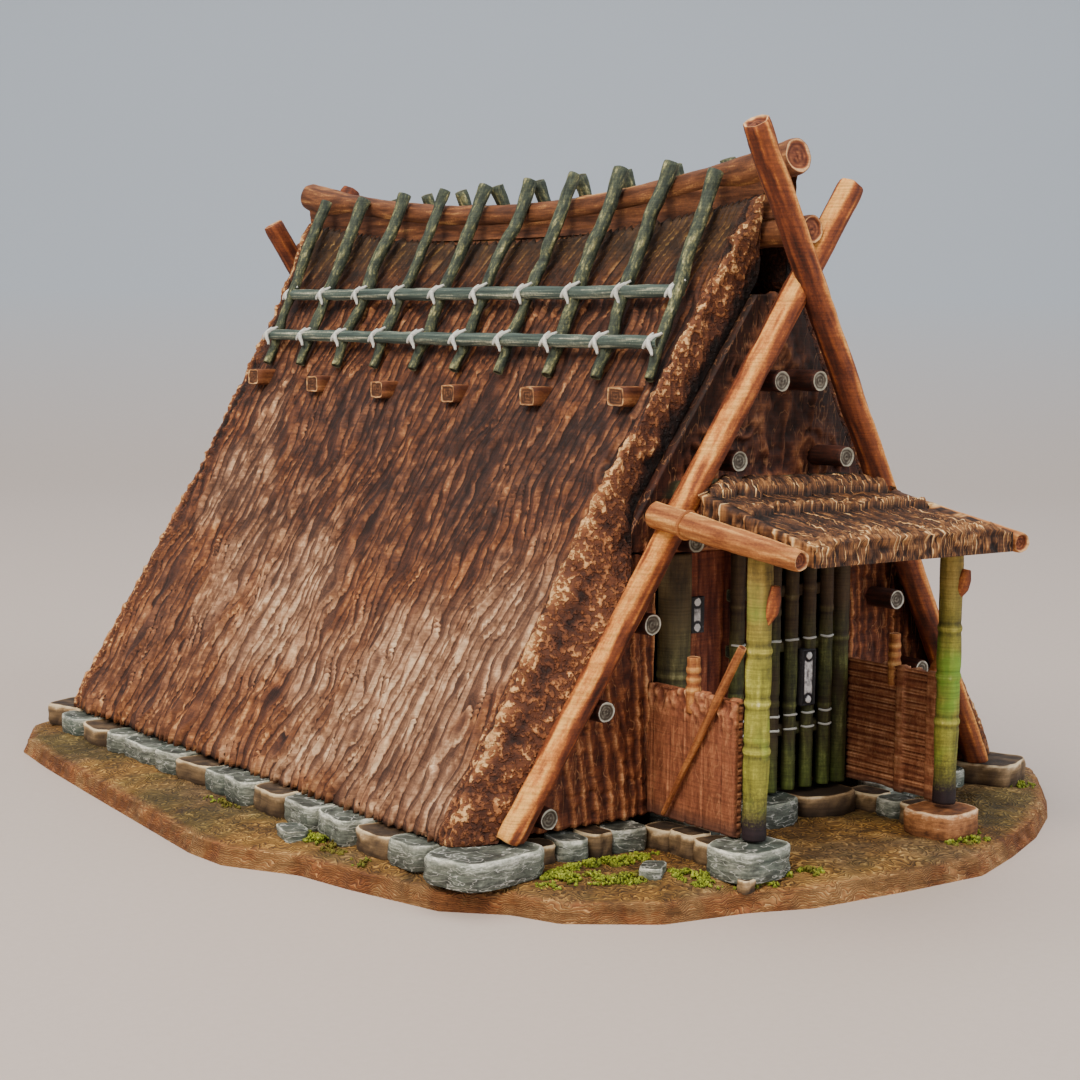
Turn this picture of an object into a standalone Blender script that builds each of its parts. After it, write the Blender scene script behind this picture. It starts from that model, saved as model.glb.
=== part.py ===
"""Tabletop model of a thatched A-frame farmhouse on a moulded earth base.

Units are metres, +Z is up. The entrance gable faces -Y and the ridge runs along Y.
The origin is on the flat underside of the base, below the middle of the house.
"""

import math

import bmesh
import bpy
from mathutils import Matrix, Vector

MM = 0.001
GAP = 0.2 * MM

# Driving sizes of the house frame
HALF_LENGTH = 65.5 * MM
HALF_SPREAD = 48.0 * MM
FOOT_Z = 7.5 * MM
CROSS_Z = 85.7 * MM
GABLE_LEAN = 0.09
RAKE_RADIUS = 2.1 * MM
LONG_TIP_X = 13.3 * MM
SHORT_TIP_X = 8.6 * MM
BACK_LONG_TIP_X = 12.3 * MM
BACK_SHORT_TIP_X = 7.6 * MM
LONG_RAKE_SHIFT = (-0.3 * MM, -0.3 * MM)
SHORT_RAKE_SHIFT = (0.15 * MM, 1.8 * MM)

# Base
GROUND_Z = 3.6 * MM
BASE_OUTLINE_MM = (
    (-60, -66), (-53, -73), (-50, -80), (-39, -88), (-26, -90.5), (-17, -94), (0, -95.5),
    (15, -96), (27, -91.5), (39, -86), (51, -78.5), (60, -71), (70, -61), (74, -48),
    (74, -25), (72, 0), (71, 28), (69, 50), (64, 68), (50, 79), (25, 84), (0, 85),
    (-25, 84), (-48, 80), (-60, 72), (-66, 61), (-68, 46), (-70, 24), (-72, 0),
    (-73.7, -20), (-73, -29), (-66.5, -40), (-64.5, -50),
)
BASE_RINGS_MM = ((0.0, 0.0), (0.9, 2.4), (5.0, 3.2), (10.0, 3.6))

# Stones
STONE_BASE_Z = GROUND_Z + GAP
STONE_TOP_Z = FOOT_Z - GAP
STONE_INSET = 0.9 * MM
STONES_PER_SIDE = 10
STONE_ROW_X = 56.3 * MM
STONE_ROW_HALF_WIDTH = 3.7 * MM

# Thatch
THATCH_INNER = 2.4 * MM
THATCH_OUTER = 6.9 * MM
THATCH_HALF_LENGTH = 62.1 * MM
THATCH_LEAN_Z = 51.5 * MM
THATCH_LEAN_HALF_LENGTH = 61.4 * MM
THATCH_STATIONS = 9
LIP_RISE = 1.9 * MM
LIP_START = -0.97
THATCH_TOP_X = 2.9 * MM
THATCH_TOP_MID_Z = 92.8 * MM
THATCH_TOP_CURVE = 1.4
KNEE_Z = 80.0 * MM

# Ridge
RIDGE_HALF_LENGTH = 69.6 * MM
RIDGE_TOP_MID_Z = 99.6 * MM
RIDGE_CURVE = 1.42
RIDGE_RADIUS_MID = 2.0 * MM
RIDGE_RADIUS_END = 2.75 * MM
LOWER_LOG_RADIUS = 2.1 * MM
LOWER_LOG_MID_Z = 91.6 * MM
LOWER_LOG_END_Z = 93.0 * MM
LOWER_LOG_HALF_LENGTH = 73.0 * MM
NECK_HALF_WIDTH = 1.6 * MM

# Saddle poles and ties
POLE_COUNT = 10
POLE_RADIUS = 1.05 * MM
POLE_OFFSET = THATCH_OUTER + GAP + POLE_RADIUS
POLE_LOW_Z = 71.0 * MM
POLE_TIP_Z = 101.9 * MM
POLE_TIP_RISE = 0.28 * MM
NEAR_LOW_Y = 54.6 * MM
NEAR_TOP_Y = 57.4 * MM
NEAR_STEP = 12.6 * MM
FAR_LOW_Y = 56.4 * MM
FAR_TOP_Y = 54.9 * MM
FAR_STEP = 11.85 * MM
POLE_TURN = 0.42
TIE_RADIUS = 1.05 * MM
TIE_OFFSET = POLE_OFFSET + 1.5 * MM
TIE_SPANS_MM = ((84.0, -59.8, 57.0), (76.4, -60.4, 56.0))

# Tie beams
BEAM_MID_Z = 67.3 * MM
BEAM_CURVE = 0.36
BEAM_STEP = 21.9 * MM
BEAM_HALF_LENGTH = 21.6 * MM
BEAM_WIDTH = 4.0 * MM
BEAM_HEIGHT = 3.0 * MM

# Gable walls
WALL_FRONT_Y = -63.0 * MM
WALL_THICKNESS = 2.0 * MM
WALL_BOTTOM_Z = FOOT_Z
WALL_LEAN_Z = 51.5 * MM
WALL_TOP_Z = 83.6 * MM
PURLIN_HEIGHTS_MM = (10.0, 24.5, 36.5, 48.0, 59.5, 71.0)
PURLIN_RADIUS = 1.6 * MM
PURLIN_INSET = 4.4 * MM

# Doorway
WALL_EDGE_X = 19.9 * MM
DOORWAY_TOP_Z = 46.0 * MM
LINTEL_HEIGHT = 2.4 * MM
LEAF_BOTTOM_Z = FOOT_Z + GAP
LEAF_TOP_Z = 45.6 * MM
CANE_COUNT = 6
CANE_STEP = 3.72 * MM
CANE_RADIUS = 1.2 * MM
CANE_FIRST_X = -4.4 * MM
CANE_Y = -63.5 * MM
DOOR_RAIL_HEIGHTS_MM = (17.0, 30.1, 38.6)
BOARD_LEFT_X = -14.2 * MM
BOARD_WIDTH = 16.0 * MM
BOARD_Y = -60.6 * MM
BOARD_THICKNESS = 1.4 * MM
COLUMN_X = -17.2 * MM
COLUMN_Y = -63.8 * MM
COLUMN_RADIUS = 2.5 * MM
JAMB_X = 18.0 * MM
JAMB_Y = -62.8 * MM
JAMB_RADIUS = 1.5 * MM

# Porch
POST_X = 19.4 * MM
POST_Y = -84.2 * MM
POST_RADIUS = 1.9 * MM
POST_BOTTOM_Z = 7.9 * MM
RAIL_BACK = Vector((24.75, -67.8, 52.2)) * MM
RAIL_FRONT = Vector((22.15, -95.0, 48.1)) * MM
RAIL_RADIUS_BACK = 2.0 * MM
RAIL_RADIUS_FRONT = 1.55 * MM
ROOF_HALF_WIDTH = 19.9 * MM
ROOF_BACK_Y = -67.6 * MM
ROOF_FRONT_Y = -95.2 * MM
ROOF_BACK_HALF_WIDTH = 14.2 * MM
ROOF_MID_Y = -72.4 * MM
ROOF_BACK_Z_MM = (50.7, 56.9)
ROOF_MID_Z_MM = (50.06, 55.74)
ROOF_FRONT_Z_MM = (47.0, 50.2)
RIGHT_DROP = 0.8 * MM
SCREEN_INNER_X = 19.9 * MM
SCREEN_OUTER_X = 21.3 * MM
SCREEN_FRONT_Y = -81.9 * MM
SCREEN_BACK_Y = WALL_FRONT_Y - GAP
SCREEN_TOP_Z = 27.1 * MM
PEG_Y = -72.2 * MM
PEG_TOP_Z = 32.0 * MM
PEG_RADIUS = 1.0 * MM
BRACE_RADIUS = 0.8 * MM
BRACE_X = 22.35 * MM
BRACE_TOP = (-84.6 * MM, 36.4 * MM)
BRACE_FOOT = (-68.0 * MM, 8.6 * MM)

SLOPE = HALF_SPREAD / (CROSS_Z - FOOT_Z)
SLOPE_COS = math.cos(math.atan(SLOPE))
CLEAR = (1, 1, 1)


def clear_scene():
    for obj in list(bpy.data.objects):
        bpy.data.objects.remove(obj, do_unlink=True)


def make_material(name, color, roughness, metallic=0.0):
    material = bpy.data.materials.new(name)
    material.use_nodes = True
    shader = material.node_tree.nodes["Principled BSDF"]
    shader.inputs["Base Color"].default_value = (*color, 1.0)
    shader.inputs["Roughness"].default_value = roughness
    shader.inputs["Metallic"].default_value = metallic
    material.diffuse_color = (*color, 1.0)
    return material


def object_from_mesh(name, points, faces, smooth=False):
    """A mesh object with its faces pointing out."""
    mesh = bpy.data.meshes.new(name)
    mesh.from_pydata([tuple(p) for p in points], [], faces)
    work = bmesh.new()
    work.from_mesh(mesh)
    bmesh.ops.recalc_face_normals(work, faces=work.faces)
    work.to_mesh(mesh)
    work.free()
    if smooth:
        mesh.shade_smooth()
        mesh.set_sharp_from_angle(angle=math.radians(40))
    obj = bpy.data.objects.new(name, mesh)
    bpy.context.scene.collection.objects.link(obj)
    return obj


def loft(name, rings, smooth=False, caps=None):
    """A closed solid through rings of equal point counts, with flat caps at each end."""
    count = len(rings[0])
    points = [point for ring in rings for point in ring]
    last = len(points) - count
    faces = []
    for cap in caps or (tuple(range(count)),):
        faces.append(tuple(cap))
        faces.append(tuple(last + i for i in cap))
    for row in range(len(rings) - 1):
        low = row * count
        for i in range(count):
            j = (i + 1) % count
            faces.append((low + i, low + j, low + count + j, low + count + i))
    return object_from_mesh(name, points, faces, smooth)


def box(name, low, high):
    """An upright box between two corners."""
    rings = []
    for z in (low[2], high[2]):
        rings.append([
            Vector((low[0], low[1], z)), Vector((high[0], low[1], z)),
            Vector((high[0], high[1], z)), Vector((low[0], high[1], z)),
        ])
    return loft(name, rings)


def rod(name, path, radii, sides=10, flat_foot=False):
    """A round rod along a path of points, with a radius for each point."""
    path = [Vector(p) for p in path]
    rings = []
    for i, point in enumerate(path):
        before = path[max(i - 1, 0)]
        after = path[min(i + 1, len(path) - 1)]
        along = (after - before).normalized()
        side = along.cross(Vector((0, 1, 0)))
        if side.length < 0.3:
            side = along.cross(Vector((0, 0, 1)))
        side.normalize()
        other = along.cross(side)
        ring = []
        for k in range(sides):
            turn = 2 * math.pi * (k + 0.5) / sides
            ring.append(point + radii[i] * (math.cos(turn) * side + math.sin(turn) * other))
        if flat_foot and i == 0:
            ring = [p + along * ((point.z - p.z) / along.z) for p in ring]
        rings.append(ring)
    return loft(name, rings, smooth=True)


def as_helper(obj):
    obj.hide_render = True
    obj.display_type = "WIRE"
    return obj


def combine(obj, others, operation):
    """Joins or cuts obj by the others with exact Booleans, and keeps only the result."""
    for other in others:
        modifier = obj.modifiers.new(other.name, "BOOLEAN")
        modifier.operation = operation
        modifier.solver = "EXACT"
        modifier.object = as_helper(other)
    bpy.context.view_layer.update()
    graph = bpy.context.evaluated_depsgraph_get()
    result = bpy.data.meshes.new_from_object(obj.evaluated_get(graph))
    obj.modifiers.clear()
    obj.data = result
    for other in others:
        bpy.data.objects.remove(other, do_unlink=True)
    return obj


def fuse(obj, others):
    return combine(obj, others, "UNION")


def cut(obj, others):
    return combine(obj, others, "DIFFERENCE")


def paint(obj, material):
    obj.data.materials.clear()
    obj.data.materials.append(material)
    return obj


def turned_copy(obj, name):
    """The same piece at the other end, turned half a turn about Z."""
    copy = bpy.data.objects.new(name, obj.data)
    copy.rotation_euler = (0, 0, math.pi)
    bpy.context.scene.collection.objects.link(copy)
    return copy


def mirrored_copy(obj, name):
    """The same piece on the other side of the YZ plane."""
    mesh = obj.data.copy()
    mesh.transform(Matrix.Diagonal((-1, 1, 1, 1)))
    mesh.flip_normals()
    copy = bpy.data.objects.new(name, mesh)
    bpy.context.scene.collection.objects.link(copy)
    return copy


def slope_x(offset, z):
    """X on the left slope at height z, offset outwards from the rake logs' axis plane."""
    return -HALF_SPREAD + (z - FOOT_Z) * SLOPE - offset / SLOPE_COS


def gable_y(z, half_length):
    """Y of the leaning front gable plane at height z."""
    return -half_length - GABLE_LEAN * (z - FOOT_Z)


def sag(y, low, curve):
    """Height of a line that dips to low at mid-length and rises with the square of y."""
    return low + curve * y * y


def ridge_radius(y):
    blend = min(max((abs(y) - 53 * MM) / (7 * MM), 0.0), 1.0)
    return RIDGE_RADIUS_MID + blend * (RIDGE_RADIUS_END - RIDGE_RADIUS_MID)


def ridge_centre(y):
    return sag(y, RIDGE_TOP_MID_Z, RIDGE_CURVE) - ridge_radius(y)


def lower_log_z(y):
    share = (y / LOWER_LOG_HALF_LENGTH) ** 2
    return LOWER_LOG_MID_Z + share * (LOWER_LOG_END_Z - LOWER_LOG_MID_Z)


def build_base(material):
    outline = [Vector((x, y, 0)) * MM for x, y in BASE_OUTLINE_MM]
    rings = []
    for inset, height in BASE_RINGS_MM:
        ring = []
        for point in outline:
            inward = -Vector((point.x, point.y + 5 * MM, 0)).normalized()
            moved = point + inward * inset * MM
            ring.append(Vector((moved.x, moved.y, height * MM)))
        rings.append(ring)
    paint(loft("earth_base", rings), material)


def stone_block(name, outline, top):
    """Stones that share one body: an outline with its top edge drawn in."""
    middle = sum(outline, Vector((0, 0, 0))) / len(outline)
    rings = []
    shoulder = top - 0.8 * MM
    for inset, z in ((0.0, STONE_BASE_Z), (0.0, shoulder), (STONE_INSET, top)):
        ring = []
        for point in outline:
            inward = (middle - point).normalized()
            moved = point + inward * inset
            ring.append(Vector((moved.x, moved.y, z)))
        rings.append(ring)
    return loft(name, rings)


def stone_disc(name, x, y, radius_x, radius_y, top, turn=0.2):
    """One flat stone with eight slightly uneven sides."""
    outline = []
    for i in range(8):
        angle = turn + 2 * math.pi * i / 8
        reach = 1.0 + 0.06 * math.cos(3 * i + 10 * turn)
        outline.append(Vector((
            x + radius_x * reach * math.cos(angle),
            y + radius_y * reach * math.sin(angle), 0,
        )))
    return stone_block(name, outline, top)


def stone_row(name, start, end, half_width, count, top):
    """A straight row of stones whose long edges draw in at each joint."""
    start, end = Vector(start), Vector(end)
    along = (end - start).normalized()
    across = Vector((-along.y, along.x, 0))
    length = (end - start).length
    sides = ([], [])
    for i in range(2 * count + 1):
        joint = i % 2 == 0
        reach = half_width * (0.8 if joint else 1.0)
        centre = start + along * length * i / (2 * count)
        sides[0].append(centre - across * reach)
        sides[1].append(centre + across * reach)
    outline = sides[0] + sides[1][::-1]
    inset_rings = []
    for inset, z in ((0.0, STONE_BASE_Z), (0.0, top - 0.8 * MM), (STONE_INSET, top)):
        ring = []
        for point in outline:
            offset = (point - start).dot(across)
            step = -across * inset if offset > 0 else across * inset
            reach = (point - start).dot(along)
            if reach < 0.01 * MM:
                step = step + along * inset
            if reach > length - 0.01 * MM:
                step = step - along * inset
            moved = point + step
            ring.append(Vector((moved.x, moved.y, z)))
        inset_rings.append(ring)
    return loft(name, inset_rings)


def build_stones(grey, rust):
    row_end = HALF_LENGTH - 5 * MM
    left = stone_row("stones_left", (-STONE_ROW_X, row_end, 0), (-STONE_ROW_X, -row_end, 0),
                     STONE_ROW_HALF_WIDTH, STONES_PER_SIDE, STONE_TOP_Z)
    corners = [
        stone_disc("corner_a", -52.9 * MM, -65.4 * MM, 6.9 * MM, 5.6 * MM, STONE_TOP_Z),
        stone_disc("corner_b", -52.2 * MM, 65.4 * MM, 5.4 * MM, 5.0 * MM, STONE_TOP_Z, 0.5),
    ]
    paint(fuse(left, corners), grey)
    turned_copy(left, "stones_right")

    back = stone_row("stones_back", (-45 * MM, 63 * MM, 0), (45 * MM, 63 * MM, 0), 3.2 * MM, 9,
                     STONE_TOP_Z)
    paint(back, grey)
    front = stone_row("stones_front_left", (-45 * MM, -63.2 * MM, 0), (-24 * MM, -64.2 * MM, 0),
                      3.2 * MM, 3, STONE_TOP_Z)
    paint(front, grey)
    paint(mirrored_copy(front, "stones_front_right"), grey)

    for side, word, post_x, post_y, reach_x, material in (
        (-1, "left", -21.2 * MM, -84.9 * MM, 5.6 * MM, grey),
        (1, "right", 18.9 * MM, -84.2 * MM, 5.4 * MM, rust),
    ):
        post_stone = stone_disc(f"porch_stones_{word}", post_x, post_y, reach_x, 4.4 * MM,
                                POST_BOTTOM_Z - GAP)
        sill_x = side * 20.6 * MM
        row = stone_row("screen_sill", (sill_x, -81.5 * MM, 0), (sill_x, -59.5 * MM, 0),
                        2.4 * MM, 3, STONE_TOP_Z)
        paint(fuse(post_stone, [row]), material)

    threshold = box("threshold_stone", (-17.8 * MM, -68.5 * MM, STONE_BASE_Z),
                    (17.8 * MM, -58.6 * MM, FOOT_Z - GAP))
    paint(threshold, grey)


def rake_path(foot_x, tip_x, shift, extra=0.0):
    """Ends of a rake log's axis in the leaning plane of the front gable."""
    rise = (CROSS_Z - FOOT_Z) / -foot_x
    tip_z = FOOT_Z + (tip_x - foot_x) * rise
    foot = Vector((foot_x, gable_y(FOOT_Z, HALF_LENGTH) + shift[0], FOOT_Z))
    tip = Vector((tip_x, gable_y(tip_z, HALF_LENGTH) + shift[1], tip_z))
    reach = (tip - foot).normalized() * extra
    return foot - reach, tip + reach


def long_path(tip_x=LONG_TIP_X, extra=0.0):
    return rake_path(HALF_SPREAD, -tip_x, LONG_RAKE_SHIFT, extra)


def short_path(tip_x=SHORT_TIP_X, extra=0.0):
    return rake_path(-HALF_SPREAD, tip_x, SHORT_RAKE_SHIFT, extra)


def turned(path):
    """A path turned half a turn about Z, for the same place at the back gable."""
    return [Vector((-p.x, -p.y, p.z)) for p in path]


def rake_notch(path):
    """The room that a rake log takes out of a log it crosses."""
    return rod("notch", path, (RAKE_RADIUS + GAP, RAKE_RADIUS + GAP), 12)


def rake_log(name, path):
    return rod(name, path, (RAKE_RADIUS, RAKE_RADIUS), 12, flat_foot=True)


def build_rakes(material):
    """Two crossed logs at each gable; the short one is halved where the long one crosses it."""
    front_notch = rake_notch(long_path(extra=5 * MM))
    back_notch = rake_notch(turned(long_path(extra=5 * MM)))
    front_short = cut(rake_log("front_rake_short", short_path()), [front_notch])
    back_short = cut(rake_log("back_rake_short", turned(short_path(BACK_SHORT_TIP_X))),
                     [back_notch])
    front_long = rake_log("front_rake_long", long_path())
    back_long = rake_log("back_rake_long", turned(long_path(BACK_LONG_TIP_X)))
    for log in (front_short, back_short, front_long, back_long):
        paint(log, material)


def verge_y(z):
    """How far the thatch reaches along Y: upright at first, then leaning with the gable."""
    if z > THATCH_LEAN_Z:
        return THATCH_LEAN_HALF_LENGTH + GABLE_LEAN * (z - THATCH_LEAN_Z)
    share = (z - FOOT_Z) / (THATCH_LEAN_Z - FOOT_Z)
    return THATCH_HALF_LENGTH + share * (THATCH_LEAN_HALF_LENGTH - THATCH_HALF_LENGTH)


def build_thatch(material):
    """One curved slab for each slope, with holes for the tie beams."""
    foot_z = FOOT_Z + 0.1 * MM
    inner_top_z = FOOT_Z + (HALF_SPREAD - THATCH_TOP_X + THATCH_INNER / SLOPE_COS) / SLOPE
    rings = []
    shares = [-1 + 2 * i / (THATCH_STATIONS - 1) for i in range(THATCH_STATIONS)]
    shares.insert(1, LIP_START)
    for share in shares:
        lip = LIP_RISE if share == -1 else 0.0
        outer = THATCH_OUTER + lip
        top_z = sag(share * THATCH_HALF_LENGTH, THATCH_TOP_MID_Z, THATCH_TOP_CURVE)
        mid_z = 0.5 * (KNEE_Z + top_z) - 0.5 * MM
        mid_x = 0.5 * (slope_x(THATCH_OUTER, KNEE_Z) - THATCH_TOP_X) - 0.2 * MM - lip / 2
        profile = (
            (slope_x(THATCH_INNER, foot_z), foot_z),
            (slope_x(THATCH_INNER, THATCH_LEAN_Z), THATCH_LEAN_Z),
            (-THATCH_TOP_X, inner_top_z),
            (-THATCH_TOP_X, top_z),
            (mid_x, mid_z),
            (slope_x(outer, KNEE_Z), KNEE_Z),
            (slope_x(outer, THATCH_LEAN_Z), THATCH_LEAN_Z),
            (slope_x(THATCH_OUTER, foot_z + MM), foot_z + MM),
        )
        rings.append([Vector((x, share * verge_y(z), z)) for x, z in profile])
    end_caps = ((0, 1, 6, 7), (1, 2, 3, 4, 5, 6))
    left = loft("thatch_left", rings, caps=end_caps)
    holes = []
    for i in range(6):
        y = (i - 2.5) * BEAM_STEP
        half_y = 0.5 * BEAM_WIDTH + GAP
        half_z = 0.5 * BEAM_HEIGHT + GAP
        z = sag(y, BEAM_MID_Z, BEAM_CURVE)
        holes.append(box("beam_hole", (-40 * MM, y - half_y, z - half_z),
                         (0, y + half_y, z + half_z)))
    holes.append(rake_notch(turned(short_path(extra=5 * MM))))
    paint(cut(left, holes), material)
    turned_copy(left, "thatch_right")


def build_beams(material):
    for i in range(6):
        y = (i - 2.5) * BEAM_STEP
        z = sag(y, BEAM_MID_Z, BEAM_CURVE)
        beam = box(f"tie_beam_{i + 1}",
                   (-BEAM_HALF_LENGTH, y - BEAM_WIDTH / 2, z - BEAM_HEIGHT / 2),
                   (BEAM_HALF_LENGTH, y + BEAM_WIDTH / 2, z + BEAM_HEIGHT / 2))
        paint(beam, material)


def build_ridge(log_material, neck_material):
    stations = 15
    ys = [RIDGE_HALF_LENGTH * (-1 + 2 * i / (stations - 1)) for i in range(stations)]
    top = rod("ridge_log_top", [(0, y, ridge_centre(y)) for y in ys],
              [ridge_radius(y) for y in ys], 10)
    paint(top, log_material)

    lower_ys = [LOWER_LOG_HALF_LENGTH * (-1 + i / 3) for i in range(7)]
    lower = rod("ridge_log_lower", [(0, y, lower_log_z(y)) for y in lower_ys],
                [LOWER_LOG_RADIUS] * len(lower_ys), 10)
    notches = []
    for path in (long_path(extra=5 * MM), short_path(extra=5 * MM)):
        notches.append(rake_notch(path))
        notches.append(rake_notch(turned(path)))
    paint(cut(lower, notches), log_material)

    rings = []
    for y in ys:
        y = y * 0.985
        low = lower_log_z(y) + LOWER_LOG_RADIUS + GAP
        high = ridge_centre(y) - ridge_radius(y) - 2 * GAP
        waist = NECK_HALF_WIDTH * 0.8
        rings.append([
            Vector((-NECK_HALF_WIDTH, y, low)), Vector((NECK_HALF_WIDTH, y, low)),
            Vector((waist, y, 0.5 * (low + high))), Vector((NECK_HALF_WIDTH, y, high)),
            Vector((-NECK_HALF_WIDTH, y, high)), Vector((-waist, y, 0.5 * (low + high))),
        ])
    paint(loft("ridge_neck", rings), neck_material)


def saddle_pole(name, low_y, top_y, tip_z):
    """A pole on the left slope that passes the ridge log and turns up beside its far partner."""
    beside = -(ridge_radius(top_y) + POLE_RADIUS + 2 * GAP)
    turn_z = ridge_centre(top_y) + 0.3 * MM
    path = [
        (slope_x(POLE_OFFSET, POLE_LOW_Z), low_y, POLE_LOW_Z),
        (beside, top_y, turn_z),
    ]
    if tip_z:
        tip_x = min(beside + POLE_TURN * (tip_z - turn_z), -POLE_RADIUS - GAP)
        path.append((tip_x, top_y, tip_z))
    return rod(name, path, (POLE_RADIUS, POLE_RADIUS, POLE_RADIUS * 0.9)[:len(path)], 8)


def saddle_lattice(name, low_y, top_y, step, short_poles):
    """Ten poles and the two ties lashed across them, as one frame on the left slope."""
    pieces = []
    for i in range(POLE_COUNT):
        tip_z = None if i in short_poles else POLE_TIP_Z + i * POLE_TIP_RISE
        pieces.append(saddle_pole(f"pole_{i}", low_y - i * step, top_y - i * step, tip_z))
    ties = []
    for height, start, end in TIE_SPANS_MM:
        z = height * MM
        x = slope_x(TIE_OFFSET, z)
        ties.append(rod("tie", ((x, start * MM, z), (x, end * MM, z)),
                        (TIE_RADIUS, TIE_RADIUS), 8))
    frame = fuse(ties[0], pieces + ties[1:])
    frame.name = name
    return frame


def build_saddle(material):
    near = saddle_lattice("saddle_frame_left", NEAR_LOW_Y, NEAR_TOP_Y, NEAR_STEP, (0, 9))
    paint(near, material)
    far = saddle_lattice("far_frame", FAR_LOW_Y, FAR_TOP_Y, FAR_STEP, (0,))
    paint(mirrored_copy(far, "saddle_frame_right"), material)
    bpy.data.objects.remove(far, do_unlink=True)


def wall_y(z):
    return WALL_FRONT_Y - GABLE_LEAN * max(z - WALL_LEAN_Z, 0.0)


def wall_panel(name, levels):
    """A wall piece from its left and right edge at each height, leaning above the porch."""
    rings = []
    for z, left, right in levels:
        front = wall_y(z)
        back = front + WALL_THICKNESS
        rings.append([
            Vector((left, front, z)), Vector((right, front, z)),
            Vector((right, back, z)), Vector((left, back, z)),
        ])
    return loft(name, rings)


def gable_levels(heights):
    """The wall's full width between the thatch slabs at each height."""
    return [(z, slope_x(THATCH_INNER - GAP, z), -slope_x(THATCH_INNER - GAP, z)) for z in heights]


def purlin_ends(heights_mm, sides):
    """Round purlin ends that stand out of the gable wall to the plane of the rake logs."""
    ends = []
    for height in heights_mm:
        z = height * MM
        x = slope_x(-PURLIN_INSET, z)
        for side in sides:
            ends.append(rod("purlin", (
                (-side * x, gable_y(z, HALF_LENGTH) - 0.2 * MM, z),
                (-side * x, wall_y(z) + 1.0 * MM, z),
            ), (PURLIN_RADIUS, PURLIN_RADIUS), 8))
    return ends


def build_walls(material):
    purlins_low = [h for h in PURLIN_HEIGHTS_MM if h * MM < DOORWAY_TOP_Z - 2 * MM]
    purlins_high = [h for h in PURLIN_HEIGHTS_MM if h * MM > DOORWAY_TOP_Z]
    low, high = gable_levels((WALL_BOTTOM_Z, DOORWAY_TOP_Z))
    left = wall_panel("front_wall_left", ((low[0], low[1], -WALL_EDGE_X),
                                          (high[0], high[1], -WALL_EDGE_X)))
    paint(fuse(left, purlin_ends(purlins_low, (-1,))), material)
    right = wall_panel("front_wall_right", ((low[0], WALL_EDGE_X, low[2]),
                                            (high[0], WALL_EDGE_X, high[2])))
    paint(fuse(right, purlin_ends(purlins_low, (1,))), material)

    upper_low = DOORWAY_TOP_Z + GAP
    upper = wall_panel("front_wall_upper", gable_levels((upper_low, WALL_LEAN_Z, WALL_TOP_Z)))
    lintel = box("lintel", (-19.6 * MM, -66.2 * MM, upper_low),
                 (19.6 * MM, WALL_FRONT_Y + MM, upper_low + LINTEL_HEIGHT))
    paint(fuse(upper, [lintel] + purlin_ends(purlins_high, (-1, 1))), material)

    back = wall_panel("back_wall", gable_levels((WALL_BOTTOM_Z, WALL_LEAN_Z, WALL_TOP_Z)))
    paint(fuse(back, purlin_ends(PURLIN_HEIGHTS_MM, (-1, 1))), material)
    back.rotation_euler = (0, 0, math.pi)


def build_doors(bamboo, boards, post_material):
    """Two sliding leaves: bamboo canes on battens in front, upright boards behind."""
    canes = []
    for i in range(CANE_COUNT):
        x = CANE_FIRST_X + i * CANE_STEP
        canes.append(rod("cane", ((x, CANE_Y, LEAF_BOTTOM_Z), (x, CANE_Y, LEAF_TOP_Z)),
                         (CANE_RADIUS, CANE_RADIUS), 8))
    left = CANE_FIRST_X - 0.8 * MM
    right = CANE_FIRST_X + (CANE_COUNT - 1) * CANE_STEP + 0.8 * MM
    battens = []
    for height in DOOR_RAIL_HEIGHTS_MM:
        z = height * MM
        battens.append(box("batten", (left, CANE_Y + 0.3 * MM, z - MM),
                           (right, CANE_Y + 1.7 * MM, z + MM)))
    door = fuse(battens[0], battens[1:] + canes)
    door.name = "bamboo_door"
    paint(door, bamboo)

    leaf = box("board_door", (BOARD_LEFT_X, BOARD_Y - BOARD_THICKNESS / 2, LEAF_BOTTOM_Z),
               (BOARD_LEFT_X + BOARD_WIDTH, BOARD_Y + BOARD_THICKNESS / 2, LEAF_TOP_Z))
    paint(leaf, boards)

    for name, x, y, radius in (
        ("door_column", COLUMN_X, COLUMN_Y, COLUMN_RADIUS),
        ("door_jamb", JAMB_X, JAMB_Y, JAMB_RADIUS),
    ):
        ends = ((x, y, FOOT_Z), (x, y, DOORWAY_TOP_Z))
        paint(rod(name, ends, (radius, radius), 12), post_material)


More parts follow.
